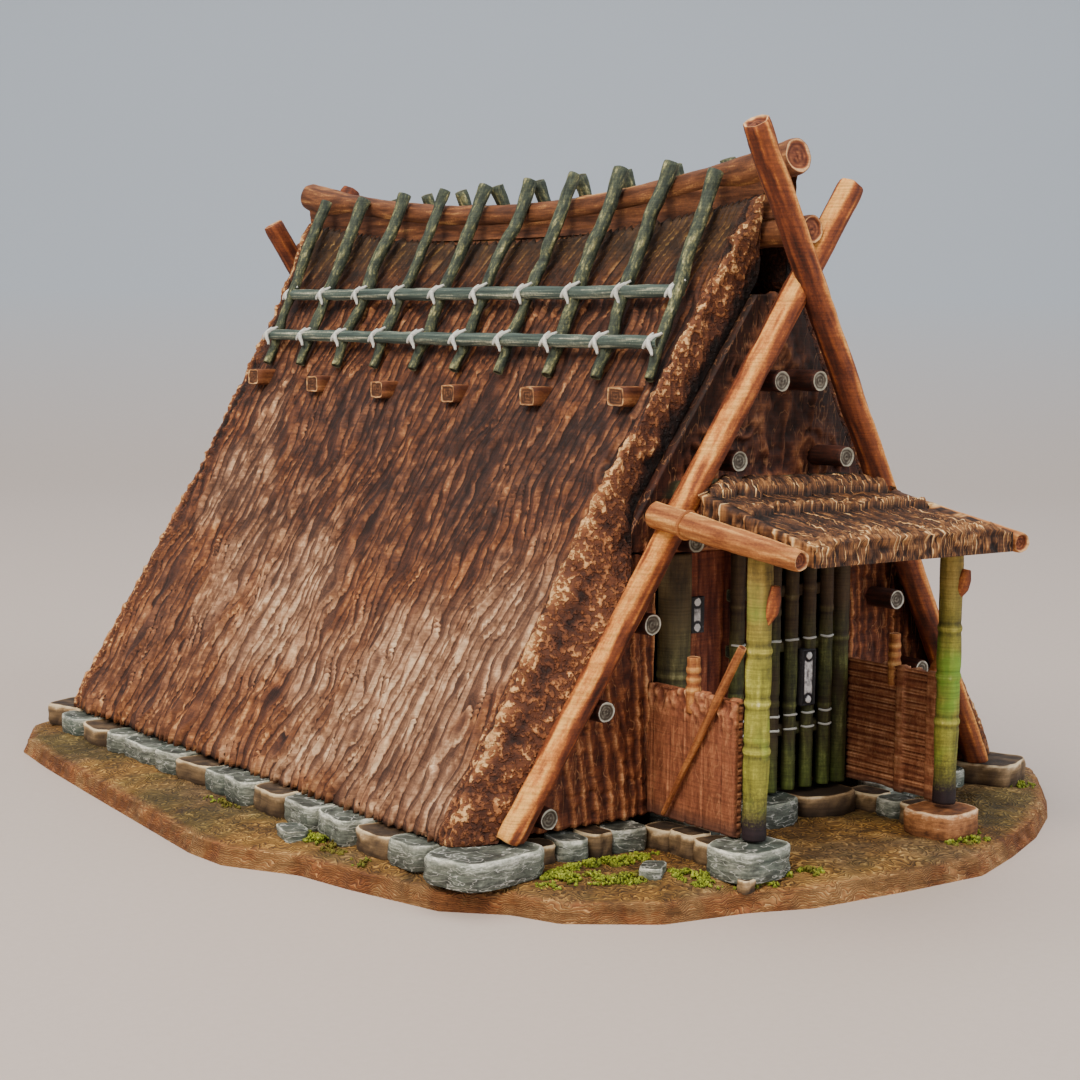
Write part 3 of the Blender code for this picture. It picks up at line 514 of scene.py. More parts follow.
WOOD_END = ((10, 58, 25, 15), (42, 104, 52, 31), (74, 158, 94, 56), (98, 240, 192, 134))
PURLIN_END = ((10, 30, 25, 22), (45, 82, 72, 60), (72, 140, 136, 120), (98, 218, 218, 202))
DARK_END = ((10, 18, 20, 18), (60, 58, 62, 48), (100, 120, 120, 88))
WALL_STOPS = ((8, 34, 15, 10), (32, 82, 41, 26), (54, 122, 66, 40), (74, 176, 108, 64),
              (94, 234, 174, 118))
WHITE = (232, 232, 222)
PALETTE = {
    "log": dict(stops=((8, 46, 20, 12), (32, 104, 50, 28), (54, 150, 80, 40), (74, 216, 136, 62),
        (94, 252, 190, 102)), second=WOOD_END, streak_share=0.32),
    "ridge_log": dict(stops=((8, 44, 22, 13), (38, 92, 54, 33), (62, 132, 82, 50),
        (82, 194, 138, 80), (96, 238, 192, 124)), second=WOOD_END, streak_share=0.6),
    "beam": dict(stops=((10, 44, 20, 11), (34, 96, 50, 28), (56, 144, 88, 50), (76, 206, 150, 92),
        (94, 246, 206, 146)), streak_share=0.45, second=((10, 32, 17, 10), (50, 92, 56, 33),
        (80, 150, 100, 62), (100, 236, 190, 130))),
    "pole": dict(stops=((10, 28, 32, 28), (36, 56, 66, 57), (54, 82, 90, 70), (68, 136, 136, 94),
        (86, 212, 206, 150)), second=DARK_END, streak=(1, 1, 0.3), streak_scale=1.7, streak_share=0.6,
        fine=0.8),
    "tie": dict(stops=((12, 40, 50, 46), (40, 72, 88, 82), (58, 94, 108, 98), (70, 152, 158, 136),
        (86, 226, 224, 196)), second=DARK_END, streak=(2.2, 2.2, 0.07), streak_share=0.75),
    "cord": dict(stops=((10, 130, 132, 126), (45, 206, 208, 200), (90, 246, 246, 238)), level=0.1,
        fine=0.3),
    "bamboo": dict(stops=((6, 58, 50, 22), (34, 110, 108, 40), (58, 150, 148, 54),
        (80, 192, 188, 86), (96, 238, 234, 172)), second=((10, 80, 60, 30), (100, 190, 170, 110)),
        streak_share=0.4, zones=((15.5, 10, (36, 25, 28), 1), (31, 42, (132, 100, 56), 0.65)),
        blotch=((112, 164, 50), 85, 0.5, 0.62)),
    "cane": dict(stops=((10, 18, 18, 12), (36, 50, 52, 30), (58, 82, 86, 46), (78, 132, 138, 76),
        (95, 198, 202, 152)), second=DARK_END, streak_share=0.5,
        zones=((29, 36, (70, 50, 34), 0.75), (16, 8, (84, 104, 34), 0.5)),
        blotch=((66, 50, 34), 95, 0.46, 0.6)),
    "column": dict(stops=((10, 30, 26, 17), (38, 66, 62, 38), (62, 98, 94, 58), (85, 150, 146, 100)),
        second=DARK_END, streak_share=0.5, zones=((30, 44, (84, 56, 38), 0.6),),
        blotch=((84, 76, 48), 90, 0.46, 0.62)),
    "stone": dict(stops=((6, 38, 40, 34), (28, 76, 80, 72), (48, 112, 118, 106), (70, 168, 172, 156),
        (90, 242, 240, 224)), second=((8, 34, 25, 18), (32, 80, 62, 44), (55, 122, 98, 68),
        (74, 176, 146, 106), (92, 236, 214, 172)), streak=(0.5, 0.5, 2.4), streak_share=0.42,
        lines=(WHITE, 0.42, (0.7, 0.7, 2.4), 0.02, 0.6), blotch=((72, 88, 80), 60, 0.52, 0.66)),
    "rust": dict(stops=((8, 66, 36, 20), (36, 136, 86, 50), (60, 182, 124, 76), (90, 246, 214, 172)),
        streak=(0.6, 0.6, 2), streak_share=0.35),
    "wall": dict(stops=WALL_STOPS, second=((10, 22, 20, 13), (50, 62, 56, 36), (95, 150, 140, 96)),
        streak=(1, 1, 0.3), streak_share=0.3, lines=((214, 150, 100), 0.5, (1, 1, 0.22), 0.012, 0.5),
        zones=((56, 64, (50, 36, 24), 0.5),)),
    "purlin": dict(stops=WALL_STOPS, second=PURLIN_END, streak_share=0.4),
    # upper purlin ends: their pale top ring is dimmed as painted shade
    "shaded_upper_purlin": dict(stops=WALL_STOPS, second=PURLIN_END[:3] + ((100, 176, 172, 150),),
        streak_share=0.4),
    "board": dict(stops=((8, 44, 15, 11), (36, 98, 44, 29), (60, 140, 74, 48), (82, 194, 124, 82),
        (96, 232, 178, 130)), second=((10, 26, 16, 16), (90, 92, 64, 54)), streak=(1.4, 1.4, 0.14),
        streak_share=0.45),
    "screen": dict(stops=((8, 58, 26, 17), (36, 116, 62, 40), (58, 156, 94, 62), (82, 204, 142, 98),
        (96, 238, 188, 138)), second=((10, 34, 20, 18), (90, 96, 64, 52)), streak=(1.2, 1.2, 0.3),
        streak_share=0.3, lines=((224, 164, 112), 0.42, (1, 1, 0.3), 0.014, 0.25)),
    "straw_wood": dict(stops=((6, 80, 40, 20), (30, 140, 78, 40), (54, 184, 118, 62),
        (78, 228, 168, 96), (96, 252, 212, 146)), second=WOOD_END, streak_share=0.5),
    "plate": dict(stops=((15, 14, 13, 15), (40, 44, 42, 46), (62, 150, 146, 146), (85, 240, 238, 234)),
        streak=(1, 1, 0.5), streak_share=0.2, rough=(0.35, 0.55), level=0.1),
    "moss": dict(stops=((6, 44, 52, 12), (36, 92, 104, 24), (64, 138, 150, 36), (92, 200, 204, 84)),
        streak=(1, 1, 1), streak_share=0.5, blotch=((96, 74, 26), 140, 0.5, 0.6), level=0),
}
materials = {key: painted(key + "_paint", **settings) for key, settings in PALETTE.items()}

# ---- thatch
CREAM = ((49, 48, 16, 12, .85), (7, 32, 13, 13, .9), (-8, 22, 12, 10, .7), (-35, 24, 13, 12, 1),
         (-49, 34, 9, 12, 1), (30, 36, 10, 14, .6), (45, 62, 14, 7, .5), (-18, 12, 26, 6, .7),
         (-52, 14, 9, 8, .9), (16, 52, 9, 9, .3))
SOOT = ((-43, 60, 14, 7, 1), (-22, 63, 16, 6, .8), (16, 62, 12, 7, .7), (47, 27, 9, 15, .8),
        (-32, 50, 8, 8, .7), (58, 45, 6, 20, .6), (-4, 14, 10, 7, .5), (-60, 66, 8, 8, .5),
        (34, 64, 8, 6, .6), (-12, 46, 8, 10, .45), (60, 14, 8, 8, .6))


def patches(spots, y, z, seed):
    """Soft uneven paint patches (centre y, centre z, half sizes, strength) on a slope."""
    wy = y + 6 * fractal(y / 8, z / 11, 0, seed, 3)
    wz = z + 6 * fractal(y / 8, z / 11, 5, seed + 1, 3)
    total = np.zeros_like(y)
    for cy, cz, ry, rz, strength in spots:
        total = np.maximum(total, strength * np.exp(-((wy - cy) / ry) ** 2 - ((wz - cz) / rz) ** 2))
    return total


def tongues(y, s, width, seed, calm=1):
    """Overlapping wavy tongues of straw along s, width mm apart at y: their height, their crest and
    their running number. calm scales the small waves."""
    run = (y / width + 1.1 * noise(y / (3.9 * width), s / 13, 0, seed)
           + calm * 0.62 * noise(y / (1.5 * width), s / 5, 3, seed + 1)
           + calm * 0.2 * noise(y / (0.8 * width), s / 1.9, 7, seed + 2))
    f = run - np.floor(run)
    lift = 0.72 + 0.4 * noise(np.floor(run) * 3.1, s / 8, 0, seed + 3)
    return lift * smoothstep(0, 0.16, f) * (1 - 0.8 * f ** 1.3), lift * bump(f, 0.2, 0.13), run


def thatch_grid(columns, rows):
    """The outer and inner faces of a slope. Low down, its ends run on behind the rake logs."""
    share = np.linspace(0, 1, rows)
    outer, inner = np.empty((2, columns, rows, 3))
    inner_top = FOOT_Z + (HALF_SPREAD - 2.9 + THATCH_INNER / SLOPE_COS) / SLOPE
    inner_z = np.minimum(7.4 + share * (inner_top - 7.4) * 1.04, inner_top)
    for i, end in enumerate(np.linspace(-1, 1, columns)):
        top_z = 92.8 + 5.4 * end * end
        lip = 1.9 * smoothstep(0.955, 1, -end)
        knee_x = slope_x(THATCH_OUTER + lip, KNEE_Z)
        knots = (0, 0.011, 0.475, 0.79, 0.925, 1)
        xs = np.interp(share, knots, (slope_x(THATCH_OUTER - 0.6, 7.35), slope_x(THATCH_OUTER, 8.6),
                                      slope_x(THATCH_OUTER + lip, THATCH_LEAN_Z), knee_x,
                                      0.5 * (knee_x - 2.9) - 0.2, -2.9))
        zs = np.interp(share, knots, (7.35, 8.6, THATCH_LEAN_Z, KNEE_Z,
                                      0.5 * (KNEE_Z + top_z) - 0.5, top_z))
        for _ in range(8):
            relax(xs)
            relax(zs)
        outer[i] = xyz(xs, end * verge_y(zs), zs)
        behind_log = smoothstep(54, 38, inner_z) * (abs(end) == 1)
        reach = blend(verge_y(inner_z), -(gable_y(inner_z) + 1), behind_log)
        offset = blend(THATCH_INNER, 0.9, behind_log)
        inner[i] = xyz(slope_x(offset, inner_z), end * reach, inner_z)
    return outer, inner


def thatch_relief(u, v, depth, x, y, z):
    """Runs of straw, a shaggy lip along the verge, and a combed strip under the ridge."""
    s = v * SLOPE_LENGTH
    comb = unit((z - 81) / 13)
    lean = y + 6 * comb ** 1.5 + 1.5 * comb * noise(y / 7, 0, 0, 8)
    calm = (1 - 0.7 * smoothstep(0, 0.35, comb)) * (1 - 0.4 * smoothstep(28, 52, z))
    high, crest, run = tongues(lean, s, 2, 11, calm)
    gaps = smoothstep(26, 48, z) * smoothstep(0.15, -0.35, noise(np.floor(run) * 5.3, s / 2.4, 0, 57))
    high, crest = high * (1 - 0.4 * gaps), crest * (1 - 0.7 * gaps)
    swept = smoothstep(0, 0.25, comb)
    high = blend(high, 0.45 - 0.35 * np.cos(2 * math.pi * run), swept)
    crest = crest * (1 - 0.75 * swept)
    from_end = THATCH_HALF_LENGTH * (1 - abs(2 * u - 1))
    upper = smoothstep(38, 56, z)
    lip = smoothstep(4.2, 2, from_end)
    lumps = 1.3 * fractal(x / 1.1, y / 1.2, z / 1.1, 51, 2)
    clods = 1 - 2.4 * abs(noise(x / 2.4, y / 2.2, z / 2.1, 63))
    foot = bump(s, 1.6, 1.8)
    height = (1.2 * high - 0.45 + 0.3 * foot * high) * (1 - lip)
    rise = smoothstep(0, 0.6, from_end + 0.25)
    height = height + lip * (0.35 + 0.55 * lumps + 0.45 * upper * clods) * rise
    broken = smoothstep(20, 48, z) * (1 - smoothstep(0, 0.2, comb))
    crest = crest * (1 - 0.7 * broken * smoothstep(0.1, -0.5, fractal(y / 1.7, s / 4.5, 0, 55, 2)))
    shade = 0.2 + 0.34 * high + 0.52 * crest + 0.16 * lumps - 0.11 * smoothstep(22, 60, z) - 0.05 * swept
    lip_shade = 0.38 + 0.04 * (1 - upper) + 0.26 * lumps + 0.1 * upper * clods + 0.25 * crest
    lip_shade = lip_shade + 0.4 * bump(from_end, 0.5, 0.7) * (0.7 + 0.8 * lumps)
    lip_shade = lip_shade - 0.3 * upper * bump(from_end, 2, 0.7)
    shade = blend(shade, lip_shade, lip)
    # Over the wrapped edges the relief darkens towards the inner face as painted shade: on the verge's
    # end face the upper part fades to dark painted shade in the gap behind the rake log, and the lower
    # part has a dark painted shade line along a groove.
    edge = smoothstep(0, 0.18, depth)
    on_end = edge * (from_end < 0.01)
    end_shade = blend(0.42 + 0.24 * lumps + 0.06 * clods - 0.2 * bump(depth, 0.35, 0.12),
                      0.52 - 0.2 * depth - 0.45 * smoothstep(0.6, 0.9, depth) + 0.3 * lumps, upper)
    height = blend(height, np.where(on_end > 0, 0.5 * lumps + 0.3 * clods, 0.3 * high - 0.2), edge)
    shade = blend(shade, np.where(on_end > 0, end_shade, 0.34 + 0.2 * crest - 0.2 * depth), edge)
    tint = (patches(CREAM, y, z, 71) - patches(SOOT, y, z, 76)) * (1 - 0.85 * np.maximum(on_end, lip))
    return height, unit(shade), 0.5 + 0.46 * tint, xyz(run, y, s), unit(np.maximum(lip, edge))


def thatch_material(name, stops=None):
    """Painted straw: lit and shadowed runs with thin lines between them, and lumps where the mask
    is 1. Without stops it has the slopes' paint, with pale, dark, warm and olive patches."""
    n = Nodes(name)
    grain, relief, tint = n.attribute("grain", "Vector"), n.attribute("relief"), n.attribute("tint")
    mask = n.attribute("mask")
    height = n.split(n.object)[2]
    wander = n.math("MULTIPLY", n.noise(grain, 1, 4, 0.7, (0, 0.8, 0.45)),
                    n.remap(height, 0.078, 0.086, 0.24, 0.05))
    run = n.total((n.split(grain)[0], 1), (wander, 1))
    wide = n.ramp(n.math("FRACT", run), ((0, 0), (5, 0.1), (11, 1), (20, 0.9), (28, 0.42), (50, 0.24),
                                         (74, 0.3), (88, 0.1), (100, 0)))
    fade = n.remap(n.noise(grain, 1, 3, 0.65, (0.5, 0.35, 0.26)), 0.38, 0.56,
                   n.remap(height, 0.026, 0.048, 0.5, 0.12), 1)
    wide = n.math("MULTIPLY", wide, fade)
    drift = n.noise(grain, 1, 3, 0.6, (0.5, 0.15, 0.12))
    thin = n.ramp(n.math("FRACT", n.total((run, 2.6), (drift, 2.2))),
                  ((0, 0.1), (12, 0.95), (30, 0.55), (100, 0.1)))
    small = n.noise(grain, 2.2, 4, 0.72, (1, 1.2, 0.6))
    dots = n.remap(n.noise(n.object, 1400, 2, 0.5), 0.46, 0.6)
    straw = n.total((wide, 0.52), (thin, 0.16), (relief, 0.42))
    lumpy = n.total((relief, 0.8), (n.math("MULTIPLY", dots, relief), 0.7))
    value = n.total((straw, n.math("SUBTRACT", 1, mask)), (lumpy, mask), (n.centred(small), 0.42))
    color = n.ramp(value, stops or ((0, 16, 8, 6), (18, 44, 23, 16), (38, 80, 46, 31),
                                   (56, 110, 67, 44), (72, 150, 98, 64), (88, 208, 154, 106),
                                   (100, 244, 204, 152)))
    warm = n.ramp(value, ((0, 18, 8, 5), (18, 54, 26, 14), (38, 102, 56, 32), (56, 138, 82, 46),
                          (72, 182, 120, 70), (90, 240, 186, 122)))
    pale = n.ramp(value, ((4, 54, 31, 22), (25, 98, 65, 47), (45, 144, 104, 77),
                          (62, 190, 147, 112), (86, 244, 212, 172)))
    dark = n.ramp(value, ((4, 16, 9, 8), (28, 54, 31, 23), (52, 90, 55, 39), (74, 138, 88, 59),
                          (94, 196, 146, 104)))
    olive = n.ramp(value, ((5, 26, 18, 11), (32, 60, 44, 27), (54, 94, 72, 40),
                           (74, 150, 125, 72), (94, 216, 192, 130)))
    if not stops:
        color = n.over(color, warm, n.noise(n.object, 42, 4, 0.65), 0.4, 0.62, 0.8)
        place = n.total((tint, 1), (n.centred(n.noise(n.object, 150, 5, 0.75)), 0.5))
        color = n.over(color, pale, place, 0.56, 0.84, 0.95)
        color = n.over(color, dark, place, 0.42, 0.16, 0.95)
        color = n.over(color, olive, height, 0.084, 0.091, 0.75)
        color = n.mix(n.math("MULTIPLY", mask, 0.8), color, warm)
    lines = n.math("MULTIPLY", wide, n.math("SUBTRACT", 1, mask))
    return n.finish(color, n.remap(small, 0.3, 0.7, 0.62, 0.86),
                    [(lines, 0.0003, 0.6), (n.math("MULTIPLY", dots, mask), 0.0005, 0.8),
                     (small, 0.00022, 0.6)], (0.3, 0.0001, 0.5))


materials["thatch"] = thatch_material("thatch_paint")
slab = skin(*thatch_grid(470, 136), 8, thatch_relief)
model("thatch_slope_left", slab, "thatch", "thatch_left")
model("thatch_slope_right", [turned(p) for p in slab], "thatch", "thatch_right")

# ---- rake, ridge and lower logs
def rake_path(foot_x, tip_x, shift):
    tip_z = FOOT_Z + (tip_x - foot_x) * (CROSS_Z - FOOT_Z) / -foot_x
    return np.array([(foot_x, gable_y(FOOT_Z) + shift[0], FOOT_Z),
                     (tip_x, gable_y(tip_z) + shift[1], tip_z)])


def above_foot(points):
    return xyz(points[:, 0], points[:, 1], np.maximum(points[:, 2], FOOT_Z))


LONG_SHIFT, SHORT_SHIFT = (-0.3, -0.3), (0.15, 1.8)
HALF_TURN = np.array([-1, -1, 1])
# Each rake log gets a painted highlight on its lit side (light), and dark lowers the rest as painted
# shade.
for name, path, seed, light, dark in (
    ("front_rake_long", rake_path(HALF_SPREAD, -13.3, LONG_SHIFT), 101, (243, 30, 1.7), 0.45),
    ("front_rake_short", rake_path(-HALF_SPREAD, 8.6, SHORT_SHIFT), 102, (332, 42, 2), 0.35),
    ("back_rake_long", rake_path(HALF_SPREAD, -12.3, LONG_SHIFT) * HALF_TURN, 103, (63, 30, 1.5), 0.35),
    ("back_rake_short", rake_path(-HALF_SPREAD, 7.6, SHORT_SHIFT) * HALF_TURN, 104, (152, 42, 2), 0.35),
):
    rake = log(path, (RAKE_RADIUS,) * 2, 28, 0.8, 0.14, 1.2, seed, crook=0.12, dish=0.45, facets=7,
               light=light, dark=dark)
    model(name + "_log", [moved(rake, above_foot)], "log", name)

ys = np.linspace(-69.6, 69.6, 60)
# The ridge log has a painted highlight along its top.
ridge = log(xyz(0, ys, ridge_centre(ys)), ridge_radius(ys) - 0.05, 28, 0.6, 0.16, 1.5,
            111, dish=0.25, light=(100, 40, 0.5))
model("ridge_log_bark", [ridge], "ridge_log", "ridge_log_top")
ys = np.linspace(-73, 73, 30)
lower = log(xyz(0, ys, lower_log_z(ys)), (LOWER_LOG_RADIUS,) * 2, 24, 0.8, 0.15, 1.2,
            112, dish=0.3)
model("lower_log_bark", [lower], "ridge_log", "ridge_log_lower")

band_y, share = plane((-68, 68, 300), (0, 1, 14))
low, high = lower_log_z(band_y) + 2, ridge_centre(band_y) - ridge_radius(band_y) + 0.5
band_z = low + (high - low) * share
wave = fractal(band_y / 11, band_z / 0.8, 0, 121, 3)
band_x = -1.5 - 0.22 * wave + 0.35 * np.sin(share * math.pi)
band = part(xyz(band_x, band_y, band_z), grid_faces(300, 14), 0.36 + 0.4 * wave, 0,
            xyz(band_x, band_z, band_y))
model("ridge_band", [band, mirrored_x(band)], "ridge_log", "ridge_neck")

# ---- saddle poles, ties and lashings
def saddle(low_y, top_y, step, short_poles, seed):
    """The poles over one slope, the ties across them and the lashings. Most poles end above the
    ridge; low_y and top_y place the first pole's ends."""
    poles, ties, cords = [], [], []
    for i in range(POLE_COUNT):
        ly, ty = low_y - i * step, top_y - i * step
        beside = -(ridge_radius(ty) + POLE_RADIUS + 0.4)
        turn_z = ridge_centre(ty) + 0.3
        path = [(slope_x(POLE_OFFSET, POLE_LOW_Z), ly, POLE_LOW_Z), (beside, ty, turn_z)]
        if i not in short_poles:
            tip_z = 101.9 + 0.28 * i
            path.append((min(beside + 0.42 * (tip_z - turn_z), -POLE_RADIUS - 0.2), ty, tip_z))
        swell = 1 + 0.08 * noise(i * 3.7, seed)
        radii = np.array([0.8, 0.82, 0.95, 0.85, 1, 0.92, 1.05, 1, 1, 1.22]) * POLE_RADIUS * swell
        poles.append(log(path, radii, 12, 0.5, 0.24, 1.1, seed + i, crook=0.5, dish=0.15))
        for t, (tie_z, _, _) in enumerate(TIES):
            share = (tie_z - POLE_LOW_Z) / (turn_z - POLE_LOW_Z)
            cords += lashing(ly + (ty - ly) * share, tie_z, seed + 3 * i + t)
    for t, (tie_z, start, end) in enumerate(TIES):
        x = slope_x(TIE_OFFSET, tie_z)
        ties.append(log([(x, start, tie_z), (x, 0, tie_z - 0.1), (x, end, tie_z)],
                        (TIE_RADIUS * 0.95, TIE_RADIUS * 1.05, TIE_RADIUS * 0.95), 14, 0.7, 0.12, 1.6,
                        seed + 50 + t, crook=0.12))
    return poles, ties, cords


def lashing(cy, tie_z, seed):
    """Two white cord strokes that meet over a tie where a pole passes under it."""
    out = []
    lean = 0.25 * noise(seed * 1.3, 2)
    for y0, z0, y1, z1 in ((1.1, -0.9, -1, 1.5 + lean), (0.95, 1.3, -0.8 + lean, -1.9)):
        line = []
        for f in np.linspace(0, 1, 7):
            dy, dz = y0 + (y1 - y0) * f, z0 + (z1 - z0) * f + 0.25 * math.sin(math.pi * f)
            over = TIE_OFFSET + math.sqrt(max(TIE_RADIUS ** 2 - min(abs(dz), 1.05) ** 2 * 0.85, 0)) + 0.15
            over = max(over - 0.35 * max(abs(dz) - 1, 0), POLE_OFFSET + 0.9)
            line.append((slope_x(over, tie_z + dz), cy + dy, tie_z + dz))
        out.append(log(line, (0.22, 0.4, 0.38, 0.2), 8, 0.22, 0.05, 1, seed + int(10 * y0), dish=0.05))
    return out


near = saddle(54.6, 57.4, 12.6, (0, 9), 200)
far = saddle(56.4, 54.9, 11.85, (0,), 260)
far = [[mirrored_x(p) for p in group] for group in far]
for side, groups in (("left", near), ("right", far)):
    model(f"saddle_poles_{side}", groups[0], "pole", f"saddle_frame_{side}")
    model(f"saddle_ties_{side}", groups[1], "tie")
    model(f"saddle_cords_{side}", groups[2], "cord")

# ---- tie beams
for i in range(6):
    y = (i - 2.5) * BEAM_PITCH
    z = 67.3 + 0.00036 * y * y
    # A painted highlight along the top of each beam; dark lowers the rest as painted shade.
    beam = log([(-21.6, y, z), (21.6, y, z)], (1.5, 1.5), 24, 1.2, 0.1, 1.2, 300 + i, square=7,
               aspect=4 / 3, light=(80, 50, 0.9), dark=0.6)
    model(f"tie_beam_wood_{i + 1}", [beam], "beam", f"tie_beam_{i + 1}")

# ---- gable walls
def wall_grids(levels, columns, rows, thickness=2):
    heights, left, right = zip(*levels)
    zs = np.linspace(heights[0], heights[-1], rows)
    left, right = np.interp(zs, heights, left), np.interp(zs, heights, right)
    x = left + (right - left) * np.linspace(0, 1, columns)[:, None]
    front = xyz(x, wall_y(zs), zs)
    return front, front + (0, thickness, 0)


def wall_relief(u, v, depth, x, y, z, beam_share=1):
    """Upright planks low down; knotted roots above the porch, crossed by a dark beam at the front. Near
    the gable edges, under the thatch, the relief fades to painted shade.
    """
    wx = x + 1.6 * noise(x / 5, z / 9, 0, 131) + 0.5 * noise(x / 2, z / 3, 0, 132)
    planks, crest, _ = tongues(x, z / 3, 2.3, 133, 0.6)
    wz = z + 3 * noise(x / 6, z / 5, 0, 134)
    roots = 1 - 1.9 * abs(noise(wx / 3.4 + 0.25 * wz / 3.4, wz / 6, 0, 135))
    roots = unit(np.maximum(roots, 0.9 - 2.1 * abs(noise(wx / 2, wz / 7.5, 4, 136))))
    knots = fractal(x / 1, z / 1.1, 0, 137, 2)
    blocks = abs((z + 2.5 * noise(np.floor(wx / 2.8), 0, 0, 138)) / 9 % 1 - 0.5)
    upper = smoothstep(50, 56, z)
    height = blend(0.85 * planks + 0.25 * knots - 0.35 * bump(blocks, 0, 0.03),
                   0.95 * roots + 0.25 * knots, upper)
    shade = blend(0.24 + 0.32 * planks + 0.6 * crest + 0.3 * knots,
                  0.14 + 0.68 * roots ** 2 + 0.3 * knots, upper)
    beam = beam_share * smoothstep(1.6, 1.2, abs(z - 55.2))
    height = blend(height, 0.75 + 0.1 * knots, beam)
    # near the gable edges the wall is flattened and darkened as painted shade under the thatch
    inside = smoothstep(0.5, 4.5, -gable(z) - abs(x))
    at_edge = smoothstep(0, 0.05, np.minimum(u, 1 - u))
    return (height * at_edge - 0.35) * inside, unit(shade * (0.12 + 0.88 * inside)), beam * inside


def purlins(heights, sides, seed):
    """Round purlin ends along the gable edges at these sides. Their shafts are darkened all round as
    painted shade.
    """
    return [log([(-side * slope_x(-4.4, z), gable_y(z) - 0.2, z),
                 (-side * slope_x(-4.4, z), wall_y(z) + 1, z)],
                (1.6, 1.6), 24, 0.5, 0.1, 1.2, seed + k + 3 * side, dish=0.1, dark=1.1)
            for k, z in enumerate(heights) for side in sides]


def gable(z):
    """The left edge of a gable wall, just inside the thatch."""
    return slope_x(THATCH_INNER - 0.2, z)


def wall(heights, columns, rows, left=None, right=None, relief=wall_relief):
    """A wall from gable to gable, or to a straight edge at left or right."""
    levels = [(z, gable(z) if left is None else left, -gable(z) if right is None else right)
              for z in heights]
    return skin(*wall_grids(levels, columns, rows), 2, relief)


LOW = [h for h in PURLIN_HEIGHTS if h < DOORWAY_TOP_Z]
HIGH = [h for h in PURLIN_HEIGHTS if h > DOORWAY_TOP_Z]
BESIDE_DOORWAY = (WALL_LOW_Z, DOORWAY_TOP_Z)
left_wall = wall(BESIDE_DOORWAY, 95, 115, right=-DOORWAY_HALF_WIDTH)
right_wall = wall(BESIDE_DOORWAY, 95, 115, left=DOORWAY_HALF_WIDTH)
upper_wall = wall((DOORWAY_TOP_Z + 0.2, THATCH_LEAN_Z, WALL_TOP_Z), 150, 115)
back_wall = wall((WALL_LOW_Z, THATCH_LEAN_Z, WALL_TOP_Z), 120, 95,
                 relief=lambda *place: wall_relief(*place, beam_share=0))
lintel = log([(-19.6, -64.1, 47.4), (19.6, -64.1, 47.4)], (1.2, 1.2), 20, 0.8, 0.1, 1.2, 141,
             square=6, aspect=1.75)
for name, parts, ends in (
    ("front_wall_left", left_wall, purlins(LOW, (-1,), 500)),
    ("front_wall_right", right_wall, purlins(LOW, (1,), 520)),
    ("front_wall_upper", upper_wall + [lintel], purlins(HIGH, (-1, 1), 540)),
    ("back_wall", [turned(p) for p in back_wall],
     [turned(p) for p in purlins(PURLIN_HEIGHTS, (-1, 1), 560)]),
):
    model(name + "_boards", parts, "wall", name)
    model(name + "_purlins", ends,
          "shaded_upper_purlin" if name == "front_wall_upper" else "purlin")

# ---- doorway
column = log([(-17.2, -63.8, WALL_LOW_Z), (-17.2, -63.8, DOORWAY_TOP_Z)], (2.42, 2.45), 26, 0.35,
             0.1, 1.2, 151, nodes=(20.5,), node_size=0.1)
model("door_column_bamboo", [column], "column", "door_column")
jamb = log([(18, -62.8, WALL_LOW_Z), (18, -62.8, DOORWAY_TOP_Z)], (1.45, 1.45), 20, 0.35,
           0.08, 1.2, 152, nodes=(23,), node_size=0.1)
model("door_jamb_bamboo", [jamb], "cane", "door_jamb")

canes, binding = [], []
for i in range(6):
    x = -4.4 + CANE_PITCH * i
    knots = (14 + 2.5 * noise(i * 2.3, 5), 29 + 2.5 * noise(i * 1.7, 9))
    # a faint painted highlight down one side of each cane
    canes.append(log([(x, CANE_Y, 7.7), (x, CANE_Y, 45.2)], (CANE_RADIUS,) * 2, 16, 0.45, 0.08, 1.4,
                     400 + i, nodes=knots, node_size=0.08, light=(320, 26, 0.35), dark=0.15))
    for z in (31.2, 19.5, 17.3):
        arc = [(x + 1.27 * math.cos(a), CANE_Y - 1.27 * math.sin(a), z + 0.12 * math.sin(3 * a + i))
               for a in np.linspace(0.15, math.pi - 0.15, 9)]
        binding.append(log(arc, (0.16, 0.2, 0.16), 7, 0.35, 0.03, 1, 420 + i, dish=0.05))
battens = []
for i, z in enumerate((17, 30.1, 38.6)):
    batten = log([(-5.2, -62.5, z), (15, -62.5, z)], (0.7, 0.7), 16, 0.8, 0.06, 1.2, 440 + i, square=6)
    battens.append(moved(batten, lambda p, z=z: p * (1, 1, 1.4) - (0, 0, 0.4 * z)))
model("bamboo_leaf_canes", canes + battens, "cane", "bamboo_door", body="bamboo_leaf")
model("bamboo_leaf_bindings", binding, "cord", body="bamboo_leaf")


